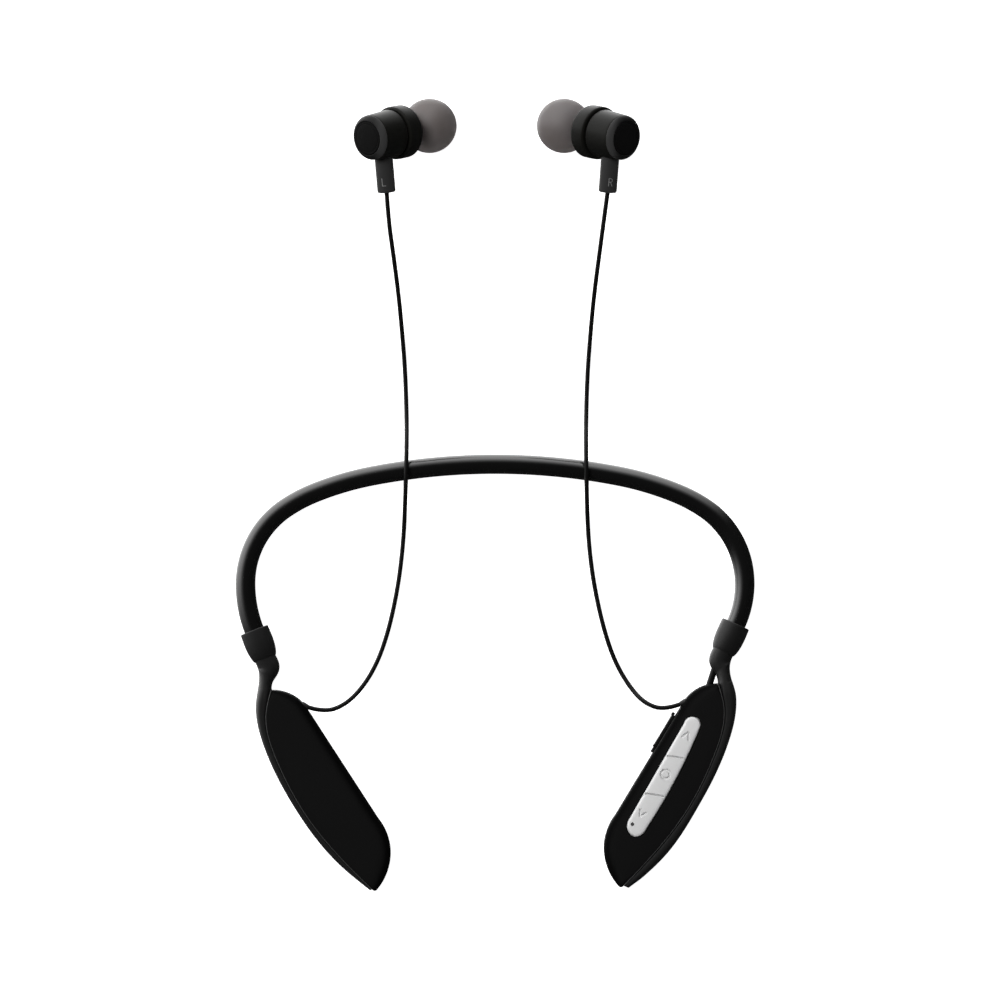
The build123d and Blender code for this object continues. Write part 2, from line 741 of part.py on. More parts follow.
def build():
    """Make every piece and write it."""
    band = band_path()
    sleeve = tube(band, SLEEVE_DIA) - tube(band_path(insert=SLEEVE_INSERT + 1), SLEEVE_BORE)
    wire = tube(band_path(rise=WIRE_RISE, insert=7.5), WIRE_DIA)
    wire_room = tube(band_path(rise=WIRE_RISE, insert=7.8), WIRE_DIA + 2 * CHANNEL_GAP)
    route = lead_path()
    lead = tube(route, LEAD_DIA)
    lead_room = tube(route, LEAD_DIA + 2 * CHANNEL_GAP)
    save("neckband_sleeve", sleeve)
    save("memory_wire", wire)
    save("link_lead", lead)

    top, bottom = pod_shells()
    strap = prism(strap_outline(), 0, POD_HEIGHT) & strap_side()
    grommets = {"left": make_grommet(LEFT_CORD), "right": make_grommet(RIGHT_CORD)}
    ends = {"left": (LEFT_MOUTH, LEFT_OUT), "right": (RIGHT_MOUTH, RIGHT_OUT)}
    shells = {
        "left": (top, bottom, strap),
        "right": (to_right(top), to_right(bottom), to_right(strap)),
    }
    for side, (high, low, band_strap) in shells.items():
        band_strap = band_strap - collar_cone(*ends[side])
        collar = make_collar(*ends[side])
        high = high - lead_room - grommets[side]
        low = low - lead_room - grommets[side]
        if side == "right":
            high = high - prism(strip_outline(KEY_GAP), KEY_LIP_Z, POD_HEIGHT + 1)
            high = high - port_opening()
            low = low - port_opening()
            foot = make_tether()
            high = high - foot
            low = low - foot
        save(f"{side}_top_shell", high)
        save(f"{side}_bottom_shell", low)
        save(f"{side}_strap", band_strap - lead_room - wire_room)
        save(f"{side}_collar", collar - lead_room - wire_room)
        save(f"{side}_cord_grommet", grommets[side])

    for node, key in zip(("key_volume_up", "key_play", "key_volume_down"), make_keys()):
        save(node, key)
    save("port_cover", make_cover())
    save("port_cover_tether", make_tether())
    save("charging_socket", make_socket())

    save_left_pod_insides()
    save_right_pod_insides()

    for side, cord in (("left", LEFT_CORD), ("right", RIGHT_CORD)):
        save(f"{side}_earbud_cord", make_cord(side, cord))
    for name, piece in make_bud(Vector(*LEFT_CORD[-1])).items():
        save(f"left_{name}", piece)
        save(f"right_{name}", bud_to_right(piece))


def save_left_pod_insides():
    """The cell and its protection board."""
    inward = Vector(-EDGE_DOWN.Y, EDGE_DOWN.X, 0)
    middle = (EDGE_TOP + EDGE_LOW) * 0.5 - inward * CELL_INSET
    plane = Plane(origin=middle, x_dir=EDGE_DOWN, z_dir=(0, 0, 1))
    cell = block(plane, CELL_ALONG, CELL_ACROSS, CELL_UP)
    save("battery_cell", fillet(cell.edges().filter_by(Axis.Z), CELL_ROUND))
    save("battery_board", block(plane, CELL_BOARD_ALONG, CELL_BOARD_ACROSS, CELL_BOARD_UP))


def save_right_pod_insides():
    """The main board and what is soldered to it."""
    across, down = (low - top for low, top in zip(STRIP_LOW_LEFT, STRIP_TOP_LEFT))
    strip_down = Vector(across, down, 0)
    plane = Plane(origin=(*KEY_CENTRES[1], 0), x_dir=strip_down, z_dir=(0, 0, 1))
    save("main_board", block(plane, BOARD_ALONG, BOARD_ACROSS, (BOARD_LOW_Z, BOARD_TOP_Z)))
    radio_up = (BOARD_LOW_Z - RADIO_THICK, BOARD_LOW_Z)
    save("radio_module", block(plane, RADIO_ALONG, RADIO_ACROSS, radio_up))
    switches = []
    half = SWITCH_SIDE / 2
    switch_top = BOARD_TOP_Z + SWITCH_HEIGHT
    for x, y in KEY_CENTRES:
        spot = Plane(origin=(x, y, 0), x_dir=strip_down, z_dir=(0, 0, 1))
        body = block(spot, (-half, half), (-half, half), (BOARD_TOP_Z, switch_top))
        switches.append(body + drum(spot, SWITCH_PLUNGER_R, switch_top, SWITCH_PLUNGER_Z))
    save("key_switches", Compound(children=switches))
    spot = Plane(origin=(*SOUND_HOLE, 0), x_dir=strip_down, z_dir=(0, 0, 1))
    microphone_up = (BOARD_TOP_Z, BOARD_TOP_Z + MICROPHONE_TALL)
    save("microphone", block(spot, MICROPHONE_ALONG, MICROPHONE_ACROSS, microphone_up))


build()
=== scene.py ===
import json
import math

import bmesh
import bpy
import numpy as np
from mathutils import Matrix, Vector


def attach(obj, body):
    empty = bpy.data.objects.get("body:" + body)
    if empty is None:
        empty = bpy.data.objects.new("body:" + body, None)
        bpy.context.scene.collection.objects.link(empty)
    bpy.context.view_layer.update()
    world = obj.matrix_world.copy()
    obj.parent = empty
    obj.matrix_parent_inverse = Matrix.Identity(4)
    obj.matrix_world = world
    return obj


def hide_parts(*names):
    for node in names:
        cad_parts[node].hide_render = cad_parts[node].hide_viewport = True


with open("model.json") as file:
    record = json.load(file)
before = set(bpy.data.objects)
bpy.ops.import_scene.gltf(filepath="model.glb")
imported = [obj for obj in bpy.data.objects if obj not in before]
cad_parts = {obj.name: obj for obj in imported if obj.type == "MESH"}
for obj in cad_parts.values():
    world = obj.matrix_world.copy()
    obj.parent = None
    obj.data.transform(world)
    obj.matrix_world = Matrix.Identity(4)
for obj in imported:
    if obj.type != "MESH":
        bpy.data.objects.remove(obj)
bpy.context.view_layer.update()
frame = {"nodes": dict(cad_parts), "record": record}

# ------------------------------------------------------------------ driving dimensions, mm

MM = 0.001
TABLE_HALF = 3.0

# the picture: how wide it is at the height of the pods, and how far off the camera stands
PICTURE_WIDE = 262.35
PICTURE_Z = 6.0
CAMERA_FAR = 1600.0
SENSOR = 36.0

# light: the wall's middle and strength, the heights between which it fades (1 is straight up),
# how squarely a direction faces it where its sides fade (1 is its middle), and the room's strength
WALL_AZIMUTH = math.radians(122)
WALL_LIGHT = 4.6
WALL_FADE = (0.3, 1.0)
WALL_SIDES = (0.1, 0.85)
ROOM_LIGHT = 0.03

# the neckband's arcs, from its crown outwards
SLEEVE_R = 2.65
CROWN_Y = 8.25
ARC_RADII = (172.0, 82.0, 41.0, 24.0)
ARC_TURNS = (11.0, 11.2, 12.1, 55.2)
LEFT_TAIL = (34.0, 21.8)
RIGHT_TAIL = (26.0, 25.0)
SLEEVE_END_Z = 3.95
SLEEVE_INSERT = 5.0
COLLAR_LENGTH = 8.35
COLLAR_ROUND = 0.5
POD_TURN = math.radians(1.8)

# pods, left one: outline, heights and the line that their rounding falls away from
POD_TOP = (-59.3, -51.8)
POD_TIP = (-32.6, -104.4)
TIP_LOW = (-31.95, -104.85)
TIP_SIDE = (-31.2, -104.5)
LOWER_MIDDLE = (-27.7, -95.15)
EDGE_LOW = (-31.0, -85.8)
EDGE_TOP = (-50.4, -55.9)
UPPER_MIDDLE = (-54.4, -52.7)
PARTING = [POD_TOP, (-60.6, -58.0), (-57.7, -70.4), (-48.4, -87.1), POD_TIP]
POD_SPINE = ((-55.2, -59.5), (-34.6, -97.5))
POD_HEIGHT = 8.6
SPLIT_Z = 4.3
SPLIT_BEVEL = 0.12
WALL = 1.3
ROOF_Z = 7.2
FLOOR_Z = 1.2

# how far apart an outline's points are
POD_STEP = 0.3
STRIP_STEP = 0.25

# how far the shells' edges are rounded, beside the strap and elsewhere, and over how many points
# of the outline the one blends into the other
NEAR_STRAP = 0.2
TOP_ROUND = (0.4, 3.6)
TOP_DROP = (0.3, 2.3)
TOP_BLEND = 22
TOP_CROWN = 0.28
BOTTOM_ROUND = (0.5, 1.3)
BOTTOM_BLEND = 14

# depths below the pods' top between which the shells' painted shade, a darker second colour, comes in
PAINTED_SHADE_DROPS = (0.12, 1.0)

# straps: the neck's half width, how far inside the collar the first and second points of its
# lines lie, and its heights
NECK_HALF = 2.85
NECK_BACK = 2.2
NECK_BACK_INNER = 0.7
NECK_BACK_OUTER = 0.3
NECK_LOW_Z = 1.15
NECK_HIGH_Z = 7.15

# along the pod the strap is deeper, taller and squarer; spans are distances down the page
BEAD_DEEPER = 0.75
BEAD_TALLER = 1.0
BEAD_SPAN = (46.0, 55.0)
ROUNDNESS = 2.3
INNER_SQUARER = 3.2
OUTER_SQUARER = 0.2
SQUARER_SPAN = (50.0, 56.0)

# the right strap's outer edge stands further out, more so low down and less so at the tip
WIDER = 0.6
WIDER_SPAN = (48.0, 56.0)
WIDER_LOW = 0.5
WIDER_LOW_SPAN = (82.0, 96.0)
TIP_LOSS = 0.25
TIP_SPAN = (101.0, 104.8)

# the fine lip between strap and shell, a real lip whose lighter colour is a painted highlight along the
# parting
LIP_Z = 8.12
LIP_HALF_WIDE = 0.13
LIP_HALF_TALL = 0.16
LIP_IN = 0.02

# earbuds, along the bud's axis from its rear bevel; the rim's painted highlight, a lighter second
# colour on its inner side, comes in between two distances from its middle
BUD_LEAN = math.radians(46.0)
BUD_SWING = math.radians(15.0)
TIP_SPOT = Vector((-17.35, 97.75, 7.2))
TIP_CENTRE = 23.0
TIP_R = 7.2
TIP_SKIN = 0.65
RIM_PAINTED_HIGHLIGHT = (0.6, 3.4)
STEM_AT = 4.5
STEM_R = 2.4
BUD_SHIFT_RIGHT = 0.9

# side marks: half the width of a stroke, how far up the stem they are, and how far they stand
# out of it and reach into it
LETTER_HALF = 0.1
LETTER_UP = 1.95
LETTER_OUT = 0.025
LETTER_IN = -0.1

# keys
STRIP_TOP_LEFT = (50.1, -60.3)
STRIP_TOP = (52.2, -58.7)
STRIP_TOP_RIGHT = (54.1, -61.8)
STRIP_RIGHT = (47.1, -76.5)
STRIP_LOW_RIGHT = (40.3, -87.9)
STRIP_LOW_LEFT = (35.2, -86.3)
STRIP_LOW_END = [
    STRIP_LOW_LEFT,
    (34.95, -87.8),
    (35.7, -89.5),
    (37.4, -90.4),
    (38.95, -89.75),
    STRIP_LOW_RIGHT,
]
SEAM_CENTRES = ((47.75, -69.4), (42.2, -79.4))
SEAM_ANGLE = math.radians(-9.5)
SOUND_HOLE = (36.35, -87.1)
SOUND_HOLE_R = 0.5
STRIP_SPINE = ((51.6, -63.0), (38.3, -86.9))
KEY_TOP_Z = 9.1
KEY_LIP_Z = 7.3
KEY_LOW_Z = 6.75
KEY_LIP = 0.7
KEY_ROUND = 0.95
KEY_DROP = 0.5
KEY_CROWN = 0.12
KEY_GAP = 0.18
SEAM_GAP = 0.08

# the keys' marks are V-shaped grooves: their bottom, a height above the keys, and half the width
# at that height
MARK_LOW_Z = 8.4
MARK_HIGH_Z = 9.6
MARK_HALF = 0.78
RING_MARK = (45.1, -73.9)
RING_MARK_R = 1.15

# cutters through the pod's top reach from one height to the other, and past the row of keys
CUT_LOW_Z = 5
CUT_HIGH_Z = 12
CUT_FAR = 20

# charging port, along the right pod's inner edge; its opening's corners are in the port's own axes
PORT_DOWN = 14.6
PORT_Z = 2.6
OPENING_LOWS = (0.7, -2.5, 1.2)
OPENING_HIGHS = (8.9, 1.0, 4.0)
FLAP_HALF = 1.7
ROLL_CHAMFER = 0.08

# cords: the route's points are part.py's, with the hump brought down onto the band
CORD_R = 0.6
LEFT_CORD = [
    (-49.7, -56.2, 5.6),
    (-45.2, -57.6, 5.6),
    (-39.6, -55.6, 4.6),
    (-34.9, -50.8, 1.7),
    (-31.1, -44.2, 0.65),
    (-28.3, -36.0, 0.65),
    (-26.1, -26.0, 0.65),
    (-24.8, -16.8, 0.65),
    (-24.1, -7.8, 0.65),
    (-23.7, 1.6, 6.5),
    (-23.4, 11.6, 6.5),
    (-23.5, 21.4, 0.65),
    (-23.9, 33.0, 0.65),
    (-24.6, 42.4, 2.2),
    (-25.5, 53.0, 8.6),
    (-26.9, 64.2, 14.6),
    (-28.0, 72.0, 17.0),
    (-28.5, 79.6, 18.2),
]
RIGHT_CORD = [
    (49.2, -55.4, 5.6),
    (44.8, -57.0, 5.6),
    (39.6, -55.2, 4.9),
    (35.6, -50.8, 1.8),
    (31.8, -44.2, 0.65),
    (29.0, -36.0, 0.65),
    (26.7, -26.0, 0.65),
    (25.3, -16.8, 0.65),
    (24.6, -7.8, 0.65),
    (24.3, 1.6, 6.5),
    (24.1, 11.6, 6.5),
    (24.2, 21.4, 0.65),
    (24.6, 33.0, 0.65),
    (25.3, 42.4, 2.2),
    (26.2, 53.0, 8.6),
    (27.6, 64.2, 14.6),
    (28.6, 72.0, 17.0),
    (29.6, 79.6, 18.2),
]


# ------------------------------------------------------------------ camera, table and light


def make_camera():
    """Straight down on the table, from far enough to look nearly flat."""
    data = bpy.data.cameras.new("camera")
    data.sensor_width = SENSOR
    data.lens = SENSOR * CAMERA_FAR / PICTURE_WIDE
    data.clip_start = 0.01
    data.clip_end = 20.0
    camera = bpy.data.objects.new("camera", data)
    camera.location = (0, 0, (CAMERA_FAR + PICTURE_Z) * MM)
    bpy.context.scene.collection.objects.link(camera)
    bpy.context.scene.camera = camera


def soft_box(name, azimuth, elevation, far, wide, tall, power):
    """One rectangular light that faces the object; angles are in degrees, azimuth from +X.

    far, wide and tall are in metres, power in watts.
    """
    data = bpy.data.lights.new(name, "AREA")
    data.shape = "RECTANGLE"
    data.size = wide
    data.size_y = tall
    data.energy = power
    light = bpy.data.objects.new(name, data)
    a, e = math.radians(azimuth), math.radians(elevation)
    place = Vector((math.cos(a) * math.cos(e), math.sin(a) * math.cos(e), math.sin(e))) * far
    light.location = place
    light.rotation_euler = (-place).to_track_quat("-Z", "Y").to_euler()
    light.visible_glossy = False
    bpy.context.scene.collection.objects.link(light)


def make_table():
    """A plain white table that glows, as a lit sweep does."""
    mesh = bpy.data.meshes.new("table")
    h = TABLE_HALF
    mesh.from_pydata([(-h, -h, 0), (h, -h, 0), (h, h, 0), (-h, h, 0)], [], [(0, 1, 2, 3)])
    table = bpy.data.objects.new("table", mesh)
    bpy.context.scene.collection.objects.link(table)
    table.visible_glossy = False
    material = bpy.data.materials.new("table")
    material.use_nodes = True
    shader = material.node_tree.nodes["Principled BSDF"]
    shader.inputs["Base Color"].default_value = (0.9, 0.9, 0.9, 1)
    shader.inputs["Roughness"].default_value = 1.0
    shader.inputs["Specular IOR Level"].default_value = 0.0
    shader.inputs["Emission Color"].default_value = (1, 1, 1, 1)
    shader.inputs["Emission Strength"].default_value = 1.0
    mesh.materials.append(material)


def make_room():
    """A wall of soft light at the upper left, seen in gloss only, in a dim room.

    The camera sees plain white instead.
    """
    world = bpy.data.worlds.new("room")
    world.use_nodes = True
    nodes, links = world.node_tree.nodes, world.node_tree.links

    def ranged(source, low, high, to_low, to_high):
        node = nodes.new("ShaderNodeMapRange")
        node.interpolation_type = "SMOOTHSTEP"
        ends = {"From Min": low, "From Max": high, "To Min": to_low, "To Max": to_high}
        for socket, value in ends.items():
            node.inputs[socket].default_value = value
        links.new(source, node.inputs["Value"])
        return node.outputs["Result"]

    where = nodes.new("ShaderNodeTexCoord")
    level = nodes.new("ShaderNodeSeparateXYZ")
    links.new(where.outputs["Generated"], level.inputs["Vector"])
    flat = nodes.new("ShaderNodeVectorMath")
    flat.operation = "MULTIPLY"
    flat.inputs[1].default_value = (1, 1, 0)
    links.new(where.outputs["Generated"], flat.inputs[0])
    unit = nodes.new("ShaderNodeVectorMath")
    unit.operation = "NORMALIZE"
    links.new(flat.outputs["Vector"], unit.inputs[0])
    facing = nodes.new("ShaderNodeVectorMath")
    facing.operation = "DOT_PRODUCT"
    facing.inputs[1].default_value = (math.cos(WALL_AZIMUTH), math.sin(WALL_AZIMUTH), 0)
    links.new(unit.outputs["Vector"], facing.inputs[0])
    below_top = ranged(level.outputs["Z"], *WALL_FADE, WALL_LIGHT, 0.0)
    in_window = ranged(facing.outputs["Value"], *WALL_SIDES, 0.0, 1.0)
    wall = nodes.new("ShaderNodeMath")
    wall.operation = "MULTIPLY"
    links.new(below_top, wall.inputs[0])
    links.new(in_window, wall.inputs[1])
    total = nodes.new("ShaderNodeMath")
    total.operation = "ADD"
    total.inputs[1].default_value = ROOM_LIGHT
    links.new(wall.outputs["Value"], total.inputs[0])
    ground = nodes["Background"]
    ground.inputs["Color"].default_value = (1, 1, 1, 1)
    links.new(total.outputs["Value"], ground.inputs["Strength"])
    seen = nodes.new("ShaderNodeBackground")
    seen.inputs["Color"].default_value = (1, 1, 1, 1)
    path = nodes.new("ShaderNodeLightPath")
    mix = nodes.new("ShaderNodeMixShader")
    links.new(path.outputs["Is Camera Ray"], mix.inputs["Fac"])
    links.new(ground.outputs["Background"], mix.inputs[1])
    links.new(seen.outputs["Background"], mix.inputs[2])
    links.new(mix.outputs["Shader"], nodes["World Output"].inputs["Surface"])
    bpy.context.scene.world = world
    world.cycles_visibility.diffuse = False
    bpy.context.scene.view_settings.view_transform = "Standard"
    bpy.context.scene.view_settings.look = "None"


def make_light():
    """The room, and two soft boxes that light faces without showing in their gloss."""
    make_room()
    soft_box("key", azimuth=135, elevation=58, far=1.3, wide=0.7, tall=0.5, power=17)
    soft_box("fill", azimuth=290, elevation=40, far=1.6, wide=1.2, tall=0.6, power=3)


make_camera()
make_table()
make_light()

# ------------------------------------------------------------------ materials


def surface(name, dark, light, rough, rough_spread, grain, depth, patch=0.05, painted_light=None, **fixed):
    """A procedural surface: mottled colour, uneven gloss and a fine grain.

    grain is how many grains lie in a metre, depth how deep they are in metres, and
    patch how far, in metres, the slow changes of colour and gloss reach.  An optional second
    colour is painted shade or painted highlight, shown as far as the mesh's own attribute of the
    same name as that argument says.
    """
    material = bpy.data.materials.new(name)
    material.use_nodes = True
    nodes, links = material.node_tree.nodes, material.node_tree.links
    shader = nodes["Principled BSDF"]
    where = nodes.new("ShaderNodeTexCoord")
    slow = nodes.new("ShaderNodeTexNoise")
    slow.inputs["Scale"].default_value = 1.0 / patch
    slow.inputs["Detail"].default_value = 4.0
    fine = nodes.new("ShaderNodeTexNoise")
    fine.inputs["Scale"].default_value = grain
    fine.inputs["Detail"].default_value = 3.0
    links.new(where.outputs["Object"], slow.inputs["Vector"])
    links.new(where.outputs["Object"], fine.inputs["Vector"])
    colour = nodes.new("ShaderNodeMix")
    colour.data_type = "RGBA"
    colour.inputs["A"].default_value = (*dark, 1)
    colour.inputs["B"].default_value = (*light, 1)
    links.new(slow.outputs["Fac"], colour.inputs["Factor"])
    final_colour = colour
    # the second colour is painted shade on the shells and a painted highlight on the earbuds' rims
    if painted_light:
        final_colour = nodes.new("ShaderNodeMix")
        final_colour.data_type = "RGBA"
        final_colour.inputs["B"].default_value = (*painted_light, 1)
        painted_light_amount = nodes.new("ShaderNodeAttribute")
        painted_light_amount.attribute_name = "painted_light"
        links.new(painted_light_amount.outputs["Fac"], final_colour.inputs["Factor"])
        links.new(colour.outputs["Result"], final_colour.inputs["A"])
    links.new(final_colour.outputs["Result"], shader.inputs["Base Color"])
    gloss = nodes.new("ShaderNodeMapRange")
    gloss.inputs["To Min"].default_value = rough - rough_spread
    gloss.inputs["To Max"].default_value = rough + rough_spread
    links.new(fine.outputs["Fac"], gloss.inputs["Value"])
    links.new(gloss.outputs["Result"], shader.inputs["Roughness"])
    bump = nodes.new("ShaderNodeBump")
    bump.inputs["Distance"].default_value = depth
    links.new(fine.outputs["Fac"], bump.inputs["Height"])
    links.new(bump.outputs["Normal"], shader.inputs["Normal"])
    for socket, value in fixed.items():
        shader.inputs[socket.replace("_", " ")].default_value = value
    return material


def grey(value):
    """A neutral colour."""
    return (value, value, value)


MATERIALS = {
    "silicone": surface("silicone", grey(0.003), grey(0.005), 0.17, 0.04, 5000, 0.000004),
    "matte_silicone": surface(
        "matte_silicone", grey(0.0062), grey(0.0088), 0.5, 0.06, 5000, 0.00001, Specular_IOR_Level=0.2
    ),
    # the lip's lighter colour is a painted highlight along the parting line
    "lip_painted_highlight": surface("lip_painted_highlight", grey(0.03), grey(0.045), 0.5, 0.06, 5000, 0.00001),
    # the shells' darker second colour is painted shade, darker the further below the pods' top
    "shell": surface(
        "shell",
        grey(0.0060),
        grey(0.0082),
        0.55,
        0.06,
        7000,
        0.00001,
        painted_light=grey(0.002),
        Specular_IOR_Level=0.007,
    ),
    "flap": surface("flap", grey(0.0028), grey(0.004), 0.5, 0.06, 7000, 0.00001, Specular_IOR_Level=0.2),
    "key_silver": surface("key_silver", grey(0.70), grey(0.76), 0.42, 0.08, 9000, 0.000008),
    "bud_shell": surface(
        "bud_shell",
        (0.0046, 0.0046, 0.0040),
        (0.0066, 0.0066, 0.0058),
        0.42,
        0.05,
        6000,
        0.00001,
        Specular_IOR_Level=0.05,
    ),
    # the rim's lighter second colour is a painted highlight on its inner side
    "bud_rim": surface(
        "bud_rim",
        grey(0.006),
        grey(0.009),
        0.4,
        0.05,
        6000,
        0.00001,
        painted_light=grey(0.034),
        Specular_IOR_Level=0.05,
    ),
    "bud_cap": surface(
        "bud_cap", grey(0.0035), grey(0.005), 0.5, 0.05, 6000, 0.00001, Specular_IOR_Level=0.02
    ),
    "stem": surface("stem", grey(0.021), grey(0.029), 0.5, 0.05, 6000, 0.00001, Specular_IOR_Level=0.05),
    "cord_jacket": surface(
        "cord_jacket", grey(0.003), grey(0.005), 0.4, 0.05, 6000, 0.00001, Specular_IOR_Level=0.1
    ),
    "ear_tip": surface(
        "ear_tip",
        (0.205, 0.172, 0.160),
        (0.228, 0.214, 0.222),
        0.55,
        0.05,
        3000,
        0.000005,
        patch=0.008,
        Specular_IOR_Level=0.2,
        Transmission_Weight=0.6,
        IOR=1.41,
    ),
    "mark": surface("mark", grey(0.12), grey(0.16), 0.5, 0.05, 6000, 0.000005),
    "spring_wire": surface("spring_wire", grey(0.5), grey(0.6), 0.3, 0.1, 4000, 0.00001, Metallic=1.0),
    "cell_foil": surface("cell_foil", grey(0.6), grey(0.72), 0.35, 0.1, 900, 0.00005, Metallic=1.0),
    "board": surface("board", (0.01, 0.10, 0.05), (0.02, 0.16, 0.08), 0.35, 0.1, 2500, 0.00002),
    "tinned_metal": surface("tinned_metal", grey(0.6), grey(0.7), 0.3, 0.1, 3000, 0.00001, Metallic=1.0),
    "driver": surface("driver", grey(0.35), grey(0.45), 0.4, 0.1, 3000, 0.00001, Metallic=1.0),
    "mesh": surface("mesh", grey(0.3), grey(0.5), 0.4, 0.1, 5000, 0.00004, Metallic=1.0),
}

for entry in frame["record"]["subparts"]:
    cad_piece = frame["nodes"][entry["node"]]
    for cad_slot in cad_piece.material_slots:
        cad_slot.material = MATERIALS[entry["material_slot"]]

# ------------------------------------------------------------------ mesh helpers


def solid(name, points, faces):
    """A closed mesh object from points in mm."""
    mesh = bpy.data.meshes.new(name)
    mesh.from_pydata([tuple(Vector(p) * MM) for p in points], [], faces)
    mesh.validate()
    shape = bmesh.new()
    shape.from_mesh(mesh)
    bmesh.ops.triangulate(shape, faces=[face for face in shape.faces if len(face.verts) > 4])
    bmesh.ops.recalc_face_normals(shape, faces=shape.faces)
    shape.to_mesh(mesh)
    shape.free()
    obj = bpy.data.objects.new(name, mesh)
    bpy.context.scene.collection.objects.link(obj)
    return obj


def carve(obj, cutters, operation="DIFFERENCE"):
    """Cut an object with others, or keep what it shares with them; the others are used up."""
    for cutter in cutters:
        cut = obj.modifiers.new("cut", "BOOLEAN")
        cut.operation = operation
        cut.solver = "EXACT"
        cut.object = cutter
        bpy.context.view_layer.update()
        ready = obj.evaluated_get(bpy.context.evaluated_depsgraph_get())
        mesh = bpy.data.meshes.new_from_object(ready)
        obj.modifiers.clear()
        obj.data = mesh
        bpy.data.objects.remove(cutter)
    return obj


def dress(obj, material, body="headset", replaces=(), sharp=38):
    """Give a mesh object its material, put it on its body and hide the CAD parts it replaces."""
    mesh = obj.data
    for face in mesh.polygons:
        face.use_smooth = True
    mesh.set_sharp_from_angle(angle=math.radians(sharp))
    mesh.materials.clear()
    mesh.materials.append(MATERIALS[material])
    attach(obj, body)
    if replaces:
        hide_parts(*replaces)
    return obj


def painted_light(obj, rule):
    """Store how far a surface shows its second colour, its painted shade or highlight, from each point
    in mm.
    """
    values = obj.data.attributes.new("painted_light", "FLOAT", "POINT")
    for vertex, value in zip(obj.data.vertices, values.data):
        value.value = rule(vertex.co / MM)


def piece(name, points, faces, material, body="headset", replaces=()):
    """A smooth closed piece from points in mm, riding on a body."""
    return dress(solid(name, points, faces), material, body, replaces)


def loft(rings):
    """Points and faces of a skin over rings that all have as many points, closed at both ends."""
    count = len(rings[0])
    points = [p for ring in rings for p in ring]
    faces = []
    for a in range(len(rings) - 1):
        b = a + 1
        for k in range(count):
            n = (k + 1) % count
            faces.append((a * count + k, a * count + n, b * count + n, b * count + k))
    faces.append(tuple(range(count)))
    faces.append(tuple(range((len(rings) - 1) * count, len(rings) * count)))
    return points, faces


def lathe(profile, origin, axis, segments=96, closed=False):
    """A skin turned round an axis from (radius, place) corners.

    A corner of radius 0 closes it on the axis; a closed profile makes a ring instead.
    """
    turn = Vector(axis).to_track_quat("Z", "Y").to_matrix()
    points, faces, rows = [], [], []
    for r, s in profile:
        if r < 1e-6:
            rows.append([len(points)])
            points.append(Vector(origin) + turn @ Vector((0, 0, s)))
            continue
        rows.append(list(range(len(points), len(points) + segments)))
        for k in range(segments):
            a = 2 * math.pi * k / segments
            points.append(Vector(origin) + turn @ Vector((r * math.cos(a), r * math.sin(a), s)))
    pairs = list(zip(rows, rows[1:]))
    if closed:
        pairs.append((rows[-1], rows[0]))
    for a, b in pairs:
        for k in range(segments):
            n = (k + 1) % segments
            corners = (a[k % len(a)], a[n % len(a)], b[n % len(b)], b[k % len(b)])
            faces.append(tuple(dict.fromkeys(corners)))
    return points, faces


def rounded(profile, radius, steps=4):
    """The same profile with each inner corner rounded by short chords of an arc."""
    out = [profile[0]]
    for before, here, after in zip(profile, profile[1:], profile[2:]):
        p, q, s = (Vector(v) for v in (before, here, after))
        reach = min(radius, (q - p).length * 0.45, (s - q).length * 0.45)
        start = q + (p - q).normalized() * reach
        end = q + (s - q).normalized() * reach
        for k in range(steps + 1):
            t = k / steps
            out.append(tuple(start * (1 - t) ** 2 + q * 2 * t * (1 - t) + end * t * t))
    out.append(profile[-1])
    return out


def spline(points, count):
    """Evenly parametrised points of a natural cubic spline through the given ones."""
    p = np.array(points, float)
    steps = np.linalg.norm(np.diff(p, axis=0), axis=1)
    at = np.concatenate([[0], np.cumsum(steps)])
    size = len(p)
    system = np.eye(size)
    right = np.zeros_like(p)
    for i in range(1, size - 1):
        h0, h1 = steps[i - 1], steps[i]
        system[i, i - 1 : i + 2] = (h0, 2 * (h0 + h1), h1)
        right[i] = 6 * ((p[i + 1] - p[i]) / h1 - (p[i] - p[i - 1]) / h0)
    bend = np.linalg.solve(system, right)
    out = []
    for t in np.linspace(0, at[-1], count):
        i = min(max(int(np.searchsorted(at, t)) - 1, 0), size - 2)
        h = steps[i]
        a, b = (at[i + 1] - t) / h, (t - at[i]) / h
        curve = (a**3 - a) * bend[i] + (b**3 - b) * bend[i + 1]
        out.append(a * p[i] + b * p[i + 1] + curve * h * h / 6)
    return out


def arc(start, through, end, count):
    """Points on the circle through three points, from the first to the last."""
    (ax, ay), (bx, by), (cx, cy) = start, through, end
    d = 2 * (ax * (by - cy) + bx * (cy - ay) + cx * (ay - by))
    a2, b2, c2 = ax * ax + ay * ay, bx * bx + by * by, cx * cx + cy * cy
    ux = (a2 * (by - cy) + b2 * (cy - ay) + c2 * (ay - by)) / d
    uy = (a2 * (cx - bx) + b2 * (ax - cx) + c2 * (bx - ax)) / d
    r = math.hypot(ax - ux, ay - uy)
    angles = [math.atan2(y - uy, x - ux) for x, y in (start, through, end)]
    turn = (angles[2] - angles[0]) % (2 * math.pi)
    if (angles[1] - angles[0]) % (2 * math.pi) > turn:
        turn -= 2 * math.pi
    out = []
    for k in range(count):
        a = angles[0] + turn * k / (count - 1)
        out.append((ux + r * math.cos(a), uy + r * math.sin(a)))
    return out


# ------------------------------------------------------------------ the neckband's line


